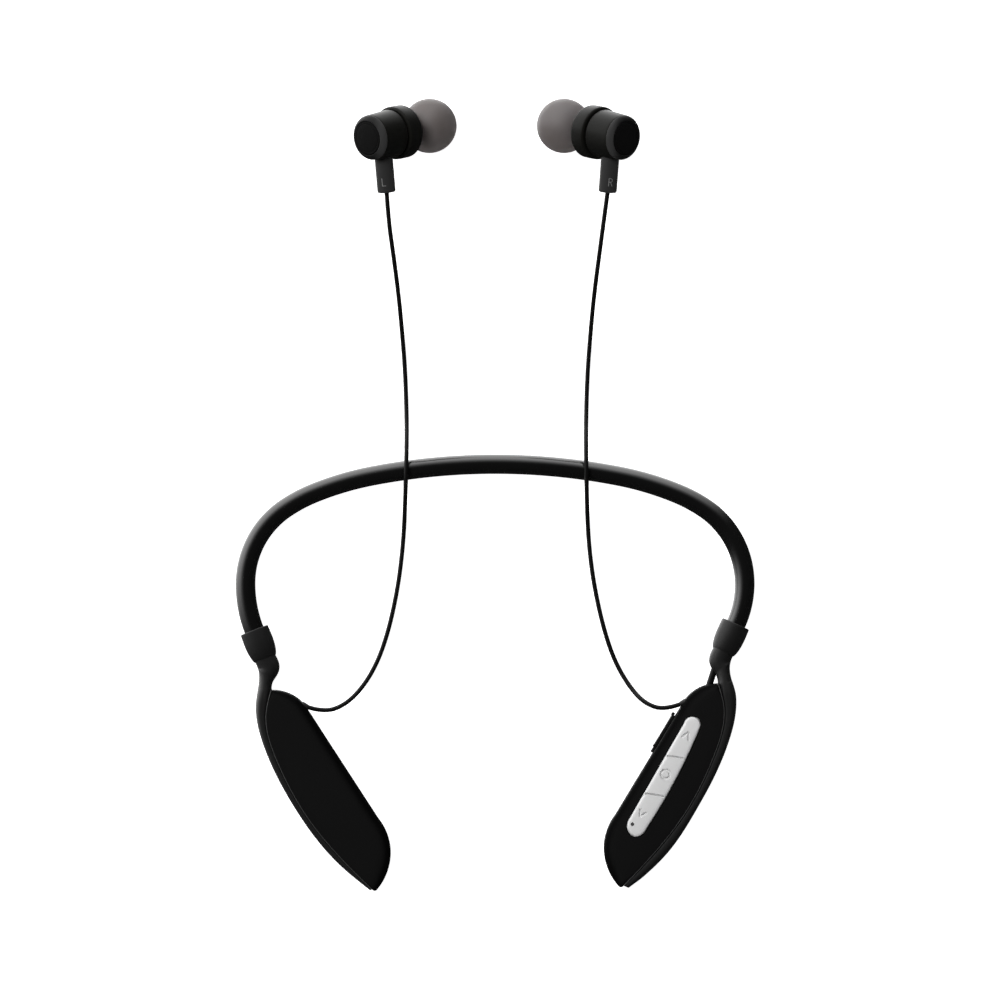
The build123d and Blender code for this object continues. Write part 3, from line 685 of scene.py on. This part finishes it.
def band_half(tail, steps=26):
    """Points and headings of half the band in its own plane, from its crown outwards."""
    x, y, heading = 0.0, 0.0, 0.0
    out = [(x, y, heading)]
    for radius, turn in zip((*ARC_RADII, tail[0]), (*ARC_TURNS, tail[1])):
        start = heading
        x0, y0 = x, y
        for k in range(1, steps + 1):
            heading = start + math.radians(turn) * k / steps
            x = x0 + radius * (math.sin(heading) - math.sin(start))
            y = y0 - radius * (math.cos(start) - math.cos(heading))
            out.append((x, y, heading))
    return out


LEFT_HALF = band_half(LEFT_TAIL)
RIGHT_HALF = band_half(RIGHT_TAIL)
BAND_TILT = math.atan2(SLEEVE_END_Z - SLEEVE_R, -LEFT_HALF[-1][1])
TO_TABLE = Matrix.Translation((0, CROWN_Y, SLEEVE_R)) @ Matrix.Rotation(-BAND_TILT, 4, "X")


def band_end(half, side):
    """Where the band enters a collar, and which way it points there."""
    x, y, heading = half[-1]
    mouth = TO_TABLE @ Vector((side * x, y, 0))
    out = TO_TABLE.to_3x3() @ Vector((side * math.cos(heading), -math.sin(heading), 0))
    return mouth, out


LEFT_MOUTH, LEFT_OUT = band_end(LEFT_HALF, -1)
RIGHT_MOUTH, RIGHT_OUT = band_end(RIGHT_HALF, 1)
LEFT_NECK = LEFT_MOUTH + LEFT_OUT * COLLAR_LENGTH
RIGHT_NECK = RIGHT_MOUTH + RIGHT_OUT * COLLAR_LENGTH


def to_right(point):
    """The right pod's point that answers a point of the left pod."""
    pivot = Vector((-LEFT_NECK.x, LEFT_NECK.y, 0))
    arm = Vector((-point[0], point[1], point[2])) - pivot
    arm.rotate(Matrix.Rotation(POD_TURN, 3, "Z"))
    return arm + Vector((RIGHT_NECK.x, RIGHT_NECK.y, 0))


def make_sleeve():
    """The silicone tube, as one skin from collar to collar."""
    line = [Vector((-x, y, 0)) for x, y, _ in reversed(LEFT_HALF)]
    line += [Vector((x, y, 0)) for x, y, _ in RIGHT_HALF[1:]]
    line = [TO_TABLE @ p for p in line]
    line = [LEFT_MOUTH + LEFT_OUT * SLEEVE_INSERT] + line + [RIGHT_MOUTH + RIGHT_OUT * SLEEVE_INSERT]
    normal = TO_TABLE.to_3x3() @ Vector((0, 0, 1))
    sides = 64
    rings = []
    for i, p in enumerate(line):
        along = (line[min(i + 1, len(line) - 1)] - line[max(i - 1, 0)]).normalized()
        side = along.cross(normal).normalized()
        ring = []
        for k in range(sides):
            a = 2 * math.pi * k / sides
            ring.append(p + side * (SLEEVE_R * math.cos(a)) + normal * (SLEEVE_R * math.sin(a)))
        rings.append(ring)
    points, faces = loft(rings)
    piece("sleeve", points, faces, "silicone", replaces=["neckband_sleeve"])


def make_collar(name, mouth, out, node):
    """A collar with a crisp mouth and a full, rounded foot."""
    profile = [
        (2.72, COLLAR_LENGTH * 0.5),
        (2.72, 0.3),
        (2.9, 0.0),
        (3.72, 0.0),
        (3.86, 0.18),
        (3.92, 1.6),
        (3.95, 3.4),
        (3.86, 5.0),
        (3.66, 6.4),
        (3.36, 7.5),
        (2.95, COLLAR_LENGTH),
        (0, COLLAR_LENGTH),
    ]
    points, faces = lathe(rounded(profile, COLLAR_ROUND), mouth, out)
    piece(name, points, faces, "matte_silicone", replaces=[node])


make_sleeve()
make_collar("collar_left", LEFT_MOUTH, LEFT_OUT, "left_collar")
make_collar("collar_right", RIGHT_MOUTH, RIGHT_OUT, "right_collar")

# ------------------------------------------------------------------ straps


def strap_lines():
    """The left strap's outer and inner lines in plan, from its collar to the pod's tip."""
    side = Vector((-LEFT_OUT.y, LEFT_OUT.x)).normalized() * NECK_HALF
    neck = Vector((LEFT_NECK.x, LEFT_NECK.y))
    back = Vector((LEFT_OUT.x, LEFT_OUT.y))
    inner = [
        neck + side - back * NECK_BACK,
        neck + side - back * NECK_BACK_INNER,
        (-57.35, -44.3),
        (-57.2, -46.2),
        (-58.05, -48.2),
        (-59.0, -49.8),
        POD_TOP,
    ]
    outer = [
        neck - side - back * NECK_BACK,
        neck - side - back * NECK_BACK_OUTER,
        (-62.85, -46.3),
        (-62.6, -48.8),
        (-63.4, -54.6),
        (-61.3, -66.7),
        (-53.5, -82.4),
        (-41.4, -97.9),
        (-33.2, -104.7),
    ]
    return spline(outer, 900), spline(inner, 44)[:-1] + spline(PARTING, 140)


def strap_pairs():
    """Points across the strap from each other, outer and inner."""
    outer, inner = strap_lines()
    ahead = 60
    pairs = []
    last = 0
    for i, point in enumerate(inner):
        along = inner[min(i + 1, len(inner) - 1)] - inner[max(i - 1, 0)]
        along = along / np.linalg.norm(along)
        scores = [abs(np.dot(np.array(o) - point, along)) for o in outer[last : last + ahead]]
        last += int(np.argmin(scores))
        pairs.append((np.array(outer[last]), point))
    return pairs


def eased(value, start, end):
    """0 before start and 1 after end, smoothly."""
    t = min(max((value - start) / (end - start), 0), 1)
    return t * t * (3 - 2 * t)


def make_strap(name, place, node, wider=0.0, wider_low=0.0):
    """One strap, put in place by the function given: a round neck, then a bead along the pod.

    wider and wider_low move its outer edge out, in mm, all along the pod and in its lower part.
    """
    sides = 48
    rings = []
    for outer, inner in strap_pairs():
        down = -(outer[1] + inner[1]) / 2
        spread = wider * eased(down, *WIDER_SPAN) + wider_low * eased(down, *WIDER_LOW_SPAN)
        spread *= 1 - TIP_LOSS * eased(down, *TIP_SPAN)
        outer = outer + (outer - inner) / max(np.linalg.norm(outer - inner), 0.01) * spread
        middle = (outer + inner) / 2
        across = (inner - outer) / 2
        full = eased(-middle[1], *BEAD_SPAN)
        low, high = NECK_LOW_Z - BEAD_DEEPER * full, NECK_HIGH_Z + BEAD_TALLER * full
        flat = eased(-middle[1], *SQUARER_SPAN)
        ring = []
        for k in range(sides):
            a = 2 * math.pi * k / sides
            c, s = math.cos(a), math.sin(a)
            power = 2 / (ROUNDNESS + (INNER_SQUARER if c > 0 else OUTER_SQUARER) * flat)
            u = math.copysign(abs(c) ** power, c)
            v = math.copysign(abs(s) ** power, s)
            z = (low + high) / 2 + v * (high - low) / 2
            ring.append(place((middle[0] + across[0] * u, middle[1] + across[1] * u, z)))
        rings.append(ring)
    points, faces = loft(rings)
    piece(name, points, faces, "matte_silicone", replaces=[node])


def make_seam(name, place):
    """The fine lip that stands between the strap and the shell, lighter in colour as a painted
    highlight.
    """
    sides = 10
    rings = []
    line = spline(PARTING, 160)
    for i, point in enumerate(line):
        along = line[min(i + 1, len(line) - 1)] - line[max(i - 1, 0)]
        out = Vector((along[1], -along[0])).normalized()
        ring = []
        for k in range(sides):
            a = 2 * math.pi * k / sides
            reach = LIP_HALF_WIDE * math.cos(a) + LIP_IN
            z = LIP_Z + LIP_HALF_TALL * math.sin(a)
            ring.append(place((point[0] - out.x * reach, point[1] - out.y * reach, z)))
        rings.append(ring)
    points, faces = loft(rings)
    piece(name, points, faces, "lip_painted_highlight")


make_strap("strap_left", Vector, "left_strap")
make_strap("strap_right", to_right, "right_strap", WIDER, WIDER_LOW)
make_seam("strap_lip_left", Vector)
make_seam("strap_lip_right", to_right)

# ------------------------------------------------------------------ pod shells


def evenly(line, step):
    """A closed line's points, about one step apart."""
    p = np.array([tuple(v)[:2] for v in line])
    p = np.vstack([p, p[:1]])
    at = np.concatenate([[0], np.cumsum(np.linalg.norm(np.diff(p, axis=0), axis=1))])
    places = np.linspace(0, at[-1], int(at[-1] / step), endpoint=False)
    return [(float(np.interp(t, at, p[:, 0])), float(np.interp(t, at, p[:, 1]))) for t in places]


def pod_outline():
    """The left shells' outline in plan."""
    line = list(spline(PARTING, 200))
    line += arc(POD_TIP, TIP_LOW, TIP_SIDE, 12)[1:]
    line += arc(TIP_SIDE, LOWER_MIDDLE, EDGE_LOW, 60)[1:]
    line += arc(EDGE_TOP, UPPER_MIDDLE, POD_TOP, 30)[:-1]
    return evenly(line, POD_STEP)


def nearest_on(segment, point):
    """The place on a straight segment that is nearest to a point."""
    a, b = (np.array(v, float) for v in segment)
    t = np.dot(np.array(point) - a, b - a) / np.dot(b - a, b - a)
    return a + (b - a) * min(max(t, 0), 1)


def dome(outline, spine, rounds, drops, crown, top, below, flip=1):
    """Rings over a crowned, round-edged top and down through (inset, height) pairs.

    At each point the edge is rounded over rounds inwards and drops downwards, and rings shrink
    towards the nearest place on the spine.
    """
    crown_shares = (0.93, 0.75, 0.5, 0.25)
    round_steps = 8
    hubs = [nearest_on(spine, p) for p in outline]
    reach = [np.linalg.norm(hub - np.array(p)) for p, hub in zip(outline, hubs)]

    def at(k, inset, z):
        p = np.array(outline[k])
        share = inset / reach[k]
        x, y = p + (hubs[k] - p) * share
        return Vector((x, y, flip * z))

    rings = []
    for share in crown_shares:
        ring = []
        for k in range(len(outline)):
            inset = rounds[k] + (reach[k] - rounds[k]) * share
            ring.append(at(k, inset, top - crown * (1 - inset / reach[k]) ** 2))
        rings.append(ring)
    for step in range(round_steps + 1):
        turn = math.pi / 2 * (1 - step / round_steps)
        ring = []
        for k in range(len(outline)):
            inset = rounds[k] - rounds[k] * math.cos(turn)
            z = top - drops[k] * (1 - math.sin(turn)) - crown * (1 - inset / reach[k]) ** 2
            ring.append(at(k, inset, z))
        rings.append(ring)
    for inset, z in below:
        rings.append([at(k, inset, z) for k in range(len(outline))])
    return rings


def smoothed(values, reach):
    """The same numbers round a closed line, averaged with their neighbours."""
    wide = np.concatenate([values[-reach:], values, values[:reach]])
    kernel = np.hanning(2 * reach + 1)
    return list(np.convolve(wide, kernel / kernel.sum(), "valid"))


def shell_rings(top_shell):
    """One left shell's rings; the bottom shell is made upside down and flipped."""
    outline = pod_outline()
    parting = np.array([tuple(p) for p in spline(PARTING, 200)])
    beside = [np.min(np.linalg.norm(parting - np.array(p), axis=1)) < NEAR_STRAP for p in outline]
    bevel = SPLIT_BEVEL
    if top_shell:
        rounds = smoothed(np.where(beside, *TOP_ROUND), TOP_BLEND)
        drops = smoothed(np.where(beside, *TOP_DROP), TOP_BLEND)
        below = [(0, SPLIT_Z + bevel), (bevel, SPLIT_Z), (WALL, SPLIT_Z), (WALL, ROOF_Z)]
        return dome(outline, POD_SPINE, rounds, drops, TOP_CROWN, POD_HEIGHT, below)
    rounds = smoothed(np.where(beside, *BOTTOM_ROUND), BOTTOM_BLEND)
    below = [(0, bevel - SPLIT_Z), (bevel, -SPLIT_Z), (WALL, -SPLIT_Z), (WALL, -FLOOR_Z)]
    return dome(outline, POD_SPINE, rounds, rounds, 0, 0, below, flip=-1)


def strip_outline():
    """The outline of the row of keys."""
    line = [STRIP_TOP_LEFT]
    line += [tuple(p) for p in spline(STRIP_LOW_END, 40)]
    line += arc(STRIP_LOW_RIGHT, STRIP_RIGHT, STRIP_TOP_RIGHT, 60)[1:]
    line += arc(STRIP_TOP_RIGHT, STRIP_TOP, STRIP_TOP_LEFT, 40)[1:-1]
    return evenly(line, STRIP_STEP)


def strip_prism(name, grow, low, high):
    """A plain block with the outline of the row of keys, made larger by grow all round."""
    outline = strip_outline()
    rings = []
    for z in (low, high):
        ring = []
        for p in outline:
            away = np.array(p) - nearest_on(STRIP_SPINE, p)
            x, y = np.array(p) + away / np.linalg.norm(away) * grow
            ring.append(Vector((x, y, z)))
        rings.append(ring)
    return solid(name, *loft(rings))


def block(name, origin, along, lows, highs):
    """A box with its length along a direction in plan, from its low and high corners."""
    turn = Matrix.Rotation(math.atan2(along[1], along[0]), 3, "Z")
    corners = ((lows[0], lows[1]), (highs[0], lows[1]), (highs[0], highs[1]), (lows[0], highs[1]))
    points = []
    for z in (lows[2], highs[2]):
        for x, y in corners:
            points.append(Vector((*origin, 0)) + turn @ Vector((x, y, z)))
    return solid(name, *loft([points[:4], points[4:]]))


PORT_TOP = to_right((*EDGE_TOP, 0))
EDGE_DOWN = (Vector(EDGE_LOW) - Vector(EDGE_TOP)).normalized()
PORT_SPOT = to_right((*(Vector(EDGE_TOP) + EDGE_DOWN * PORT_DOWN), 0))
PORT_ORIGIN = (PORT_SPOT.x, PORT_SPOT.y)
PORT_ALONG = (PORT_TOP.x - PORT_SPOT.x, PORT_TOP.y - PORT_SPOT.y)


def make_shells():
    """Both pods' shells; the right ones have the keys' slot and the port's opening."""
    for side, place in (("left", Vector), ("right", to_right)):
        for level in ("top", "bottom"):
            rings = [[place(p) for p in ring] for ring in shell_rings(level == "top")]
            shell = solid(f"shell_{side}_{level}", *loft(rings))
            if side == "right" and level == "top":
                carve(shell, [strip_prism("slot", KEY_GAP, CUT_LOW_Z, CUT_HIGH_Z)])
            if side == "right" and level == "bottom":
                carve(shell, [block("opening", PORT_ORIGIN, PORT_ALONG, OPENING_LOWS, OPENING_HIGHS)])
            dress(shell, "shell", replaces=[f"{side}_{level}_shell"])
            # painted shade: the shells turn darker the further below the pods' top they lie
            painted_light(shell, lambda point: eased(POD_HEIGHT - point.z, *PAINTED_SHADE_DROPS))


make_shells()

# ------------------------------------------------------------------ keys


def stroke(start, end):
    """A cutter for one straight V-shaped stroke in the keys' top."""
    a, b = Vector(start), Vector(end)
    side = Vector((a.y - b.y, b.x - a.x)).normalized() * MARK_HALF
    rings = []
    for p in (a, b):
        ring = [(*(p - side), MARK_HIGH_Z), (*(p + side), MARK_HIGH_Z), (*p, MARK_LOW_Z)]
        rings.append([Vector(v) for v in ring])
    return solid("stroke", *loft(rings))


def circle_mark(centre, radius):
    """A cutter for the ring-shaped stroke."""
    profile = [
        (radius - MARK_HALF, MARK_HIGH_Z),
        (radius, MARK_LOW_Z),
        (radius + MARK_HALF, MARK_HIGH_Z),
    ]
    return solid("stroke", *lathe(profile, (*centre, 0), (0, 0, 1), 48, closed=True))


def hole(centre, radius, low, high):
    """A cutter for a round hole."""
    profile = [(0, low), (radius, low), (radius, high), (0, high)]
    return solid("hole", *lathe(profile, (*centre, 0), (0, 0, 1), 32))


def make_keys():
    """Three keys cut from one crowned strip, with their marks."""
    outline = strip_outline()
    rounds = [KEY_ROUND] * len(outline)
    drops = [KEY_DROP] * len(outline)
    below = [(0, KEY_LIP_Z), (-KEY_LIP, KEY_LIP_Z), (-KEY_LIP, KEY_LOW_Z)]
    rings = dome(outline, STRIP_SPINE, rounds, drops, KEY_CROWN, KEY_TOP_Z, below)
    along = (math.cos(SEAM_ANGLE), math.sin(SEAM_ANGLE))
    upper, lower = (Vector(c) for c in SEAM_CENTRES)
    apart = (lower - upper).dot(Vector((-along[1], along[0])))
    bars = [((45.5, -69.03), (49.9, -69.77)), ((39.7, -78.98), (44.6, -79.8))]
    marks = {
        "volume_up": [((51.2, -62.7), (49.4, -64.2)), ((51.2, -62.7), (51.3, -65.0)), bars[0]],
        "play": bars,
        "volume_down": [((38.4, -85.15), (38.5, -82.95)), ((38.4, -85.15), (40.15, -84.0)), bars[1]],
    }
    spans = {
        "volume_up": (SEAM_GAP / 2, CUT_FAR),
        "play": (apart + SEAM_GAP / 2, -SEAM_GAP / 2),
        "volume_down": (apart - CUT_FAR, apart - SEAM_GAP / 2),
    }
    for name, (low, high) in spans.items():
        key = solid(f"key_{name}_cap", *loft(rings))
        part = block("part", upper, along, (-CUT_FAR, low, CUT_LOW_Z), (CUT_FAR, high, CUT_HIGH_Z))
        carve(key, [part], "INTERSECT")
        cutters = [stroke(*line) for line in marks[name]]
        if name == "play":
            cutters.append(circle_mark(RING_MARK, RING_MARK_R))
        if name == "volume_down":
            cutters.append(hole(SOUND_HOLE, SOUND_HOLE_R, CUT_LOW_Z, CUT_HIGH_Z))
        carve(key, cutters)
        dress(key, "key_silver", name, [f"key_{name}"], sharp=30)


make_keys()

# ------------------------------------------------------------------ port cover


def rounded_box(shape, lows, highs, radius):
    """Add a box with rounded edges to a bmesh."""
    made = bmesh.ops.create_cube(shape, size=1.0)["verts"]
    for v in made:
        v.co = Vector([lows[i] if v.co[i] < 0 else highs[i] for i in range(3)])
    edges = list(dict.fromkeys(edge for v in made for edge in v.link_edges))
    bmesh.ops.bevel(shape, geom=edges, offset=radius, segments=3, affect="EDGES", profile=0.5)


def port_piece(name, boxes, material, body, node, roll=None):
    """A moulded rubber piece at the port, from rounded boxes in the port's own axes.

    A roll is an upright round bar: its place, its radius, and its low and high ends.
    """
    shape = bmesh.new()
    for lows, highs, radius in boxes:
        rounded_box(shape, lows, highs, radius)
    if roll:
        x, y, r, low, high = roll
        profile = [
            (0, low),
            (r - ROLL_CHAMFER, low),
            (r, low + ROLL_CHAMFER),
            (r, high - ROLL_CHAMFER),
            (r - ROLL_CHAMFER, high),
            (0, high),
        ]
        points, faces = lathe(profile, (x, y, 0), (0, 0, 1), 24)
        verts = [shape.verts.new(p) for p in points]
        for face in faces:
            shape.faces.new([verts[i] for i in face])
    turn = Matrix.Rotation(math.atan2(PORT_ALONG[1], PORT_ALONG[0]), 4, "Z")
    bmesh.ops.transform(shape, matrix=Matrix.Translation((*PORT_ORIGIN, 0)) @ turn, verts=shape.verts)
    bmesh.ops.scale(shape, vec=(MM, MM, MM), verts=shape.verts)
    bmesh.ops.recalc_face_normals(shape, faces=shape.faces)
    mesh = bpy.data.meshes.new(name)
    shape.to_mesh(mesh)
    shape.free()
    obj = bpy.data.objects.new(name, mesh)
    bpy.context.scene.collection.objects.link(obj)
    dress(obj, material, body, [node])


port_piece(
    "port_flap",
    [
        ((-0.28, 0.0, PORT_Z - FLAP_HALF), (9.6, 0.9, PORT_Z + FLAP_HALF), 0.15),
        ((1.1, -1.0, PORT_Z - 1.1), (8.5, 0.4, PORT_Z + 1.1), 0.25),
        ((9.3, 0.3, PORT_Z - 1.2), (10.3, 1.1, PORT_Z + 1.2), 0.2),
    ],
    "flap",
    "cover",
    "port_cover",
    roll=(0.0, 0.78, 0.26, PORT_Z - FLAP_HALF, PORT_Z + FLAP_HALF),
)
port_piece(
    "port_flap_foot",
    [
        ((-1.8, -0.1, PORT_Z - 1.6), (-0.3, 0.7, PORT_Z + 1.6), 0.1),
        ((-1.6, -1.6, PORT_Z - 0.8), (-0.6, 0.4, PORT_Z + 0.8), 0.1),
    ],
    "flap",
    "headset",
    "port_cover_tether",
)

# ------------------------------------------------------------------ earbuds

BUD_OUT = Vector(
    (
        math.cos(BUD_LEAN) * math.cos(BUD_SWING),
        math.cos(BUD_LEAN) * math.sin(BUD_SWING),
        -math.sin(BUD_LEAN),
    )
)
BUD_ORIGIN = TIP_SPOT - BUD_OUT * TIP_CENTRE


def mirrored(point):
    """The right bud's point that answers a left bud's point."""
    return Vector((BUD_SHIFT_RIGHT - point[0], point[1], point[2]))


def bud_lathe(name, profile, place, material, replaces=(), closed=False, soften=0.3):
    """One turned piece of an earbud; soften rounds the corners of an open profile."""
    corners = profile if closed else rounded(profile, soften)
    points, faces = lathe(corners, BUD_ORIGIN, BUD_OUT, 120, closed=closed)
    return piece(name, [place(p) for p in points], faces, material, replaces=replaces)


def tip_profile():
    """The ear tip's section: a full round skin, rolled in at the back, on a core."""
    skin = TIP_SKIN
    mouth_r = 2.2
    core_r = 3.5
    back = math.radians(151)
    front = math.asin(mouth_r / TIP_R)
    line = []
    for k in range(41):
        a = front + (back - front) * k / 40
        line.append((TIP_R * math.sin(a), TIP_CENTRE + TIP_R * math.cos(a)))
    lip_r = (TIP_R - skin / 2) * math.sin(back)
    lip_s = TIP_CENTRE + (TIP_R - skin / 2) * math.cos(back)
    for k in range(1, 6):
        a = back + math.pi * k / 6
        line.append((lip_r + skin / 2 * math.sin(a), lip_s + skin / 2 * math.cos(a)))
    inner = TIP_R - skin
    core = math.asin(core_r / inner)
    for k in range(31):
        a = back + (core - back) * k / 30
        line.append((inner * math.sin(a), TIP_CENTRE + inner * math.cos(a)))
    line += [(3.4, 27.0), (3.4, 18.9), (3.2, 18.6), (2.8, 18.6)]
    line += [(2.66, 18.8), (2.66, 24.6), (mouth_r, 24.9)]
    return line


def letter_strokes(letter):
    """The strokes of a side mark, in mm from its lower left corner."""
    if letter == "L":
        return [[(0, 1.9), (0, 0), (0.9, 0)]]
    bowl = [(0, 0), (0, 1.9), (0.6, 1.9), (0.88, 1.7), (0.88, 1.2), (0.6, 0.98), (0, 0.98)]
    return [bowl, [(0.45, 0.98), (0.92, 0)]]


def make_stem(side, cord_end, place_letter):
    """The strain relief under an earbud, with its side mark.

    place_letter is how far round the stem the mark starts, in mm from the stem's upper line.
    """
    origin = BUD_ORIGIN if side == "left" else mirrored(BUD_ORIGIN)
    out = BUD_OUT if side == "left" else Vector((-BUD_OUT.x, BUD_OUT.y, BUD_OUT.z))
    foot = origin + out * STEM_AT
    down = (Vector(cord_end) - foot).normalized()
    long = (Vector(cord_end) - foot).length
    top, edge, corner, dip = 4.4, 0.45, 0.12, 0.25
    profile = [
        (0, top),
        (STEM_R, top),
        (STEM_R, long - edge),
        (STEM_R - corner, long - corner),
        (STEM_R - edge, long),
        (CORD_R + 0.5, long),
        (CORD_R + 0.3, long - dip),
        (0, long - dip),
    ]
    points, faces = lathe(rounded(profile, 0.2), foot, down, 72)
    piece(f"stem_{side}", points, faces, "stem", replaces=[f"{side}_bud_stem"])
    up = (Vector((0, 0, 1)) - down * down.z).normalized()
    right = up.cross(down)
    if right.x < 0:
        right = -right
    rows, faces = [], []

    def on_stem(u, v, lift):
        a = (place_letter + u) / STEM_R
        spot = foot + down * (long - LETTER_UP - v)
        return spot + (up * math.cos(a) + right * math.sin(a)) * (STEM_R + lift)

    for line in letter_strokes("L" if side == "left" else "R"):
        for start, end in zip(line, line[1:]):
            a, b = Vector(start), Vector(end)
            along = (b - a).normalized()
            across = Vector((-along.y, along.x)) * LETTER_HALF
            a, b = a - along * LETTER_HALF, b + along * LETTER_HALF
            steps = max(int((b - a).length / 0.25), 1)
            rings = []
            for k in range(steps + 1):
                p = a.lerp(b, k / steps)
                one, other = p + across, p - across
                ring = [on_stem(*one, LETTER_OUT), on_stem(*other, LETTER_OUT)]
                rings.append(ring + [on_stem(*other, LETTER_IN), on_stem(*one, LETTER_IN)])
            more, skin = loft(rings)
            faces += [tuple(i + len(rows) for i in face) for face in skin]
            rows += more
    piece(f"side_mark_{side}", rows, faces, "mark")


def make_bud(side, place, cord_end, letter_at):
    """One earbud: barrel, rim, cap, front ring with nozzle, ear tip and stem."""
    housing = f"{side}_bud_housing"
    barrel = [
        (0, 0.6),
        (5.5, 0.45),
        (5.93, 0.5),
        (6.02, 1.6),
        (6.35, 7.55),
        (6.3, 7.9),
        (5.75, 7.95),
        (5.7, 8.6),
        (0, 8.6),
    ]
    bud_lathe(f"barrel_{side}", barrel, place, "bud_shell", [housing], soften=0.25)
    rim = [
        (0, 0.5),
        (5.93, 0.52),
        (5.86, 0.1),
        (5.55, -0.45),
        (5.0, -0.92),
        (4.55, -1.1),
        (4.5, -0.6),
        (0, -0.6),
    ]
    made = bud_lathe(f"rim_{side}", rim, place, "bud_rim")
    inward = 1 if side == "left" else -1
    centre = place(BUD_ORIGIN)
    # painted highlight: the rim turns lighter towards the middle of the headset
    painted_light(made, lambda point: eased(inward * (point.x - centre.x), *RIM_PAINTED_HIGHLIGHT))
    cap = [
        (0, -1.34),
        (1.6, -1.31),
        (3.0, -1.22),
        (3.7, -1.14),
        (3.8, -1.04),
        (3.9, -1.12),
        (4.35, -1.06),
        (4.42, -0.9),
        (4.42, -0.4),
        (0, -0.4),
    ]
    bud_lathe(f"cap_{side}", cap, place, "bud_cap", [f"{side}_bud_cap"], soften=0.12)
    front = [
        (0, 8.5),
        (6.6, 8.5),
        (6.98, 8.85),
        (7.02, 10.0),
        (6.98, 12.7),
        (6.7, 13.15),
        (6.1, 13.5),
        (4.3, 15.2),
        (3.1, 15.9),
        (2.62, 16.6),
        (2.62, 24.2),
        (2.4, 24.6),
        (1.9, 24.6),
        (1.9, 24.2),
        (0, 24.2),
    ]
    bud_lathe(f"front_{side}", front, place, "bud_shell", [f"{side}_bud_front"])
    bud_lathe(f"tip_{side}", tip_profile(), place, "ear_tip", [f"{side}_ear_tip"], closed=True)
    make_stem(side, cord_end, letter_at)


make_bud("left", Vector, LEFT_CORD[-1], -0.95)
make_bud("right", mirrored, RIGHT_CORD[-1], 0.1)


def make_grommet(side, route):
    """The small tapered ring that a cord leaves its pod through."""
    node = f"{side}_cord_grommet"
    start = Vector(route[0])
    out = (Vector(route[1]) - start).normalized()
    profile = [(0, -2.4), (1.0, -2.4), (1.0, -1.2), (0.85, -0.6), (0.72, -0.1), (0.64, 0.2), (0, 0.2)]
    points, faces = lathe(rounded(profile, 0.2), start, out, 40)
    piece(f"grommet_{side}", points, faces, "matte_silicone", replaces=[node])


make_grommet("left", LEFT_CORD)
make_grommet("right", RIGHT_CORD)

# ------------------------------------------------------------------ earbud cords


def make_cord(name, route, node):
    """One earbud cord on its route."""
    data = bpy.data.curves.new(name, "CURVE")
    data.dimensions = "3D"
    data.bevel_depth = CORD_R * MM
    data.bevel_resolution = 8
    data.resolution_u = 16
    data.use_fill_caps = True
    line = data.splines.new("NURBS")
    line.points.add(len(route) - 1)
    for point, place in zip(line.points, route):
        point.co = (*(v * MM for v in place), 1)
    line.order_u = 3
    line.use_endpoint_u = True
    cord = bpy.data.objects.new(name, data)
    bpy.context.scene.collection.objects.link(cord)
    data.materials.append(MATERIALS["cord_jacket"])
    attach(cord, "headset")
    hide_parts(node)


make_cord("cord_left", LEFT_CORD, "left_earbud_cord")
make_cord("cord_right", RIGHT_CORD, "right_earbud_cord")
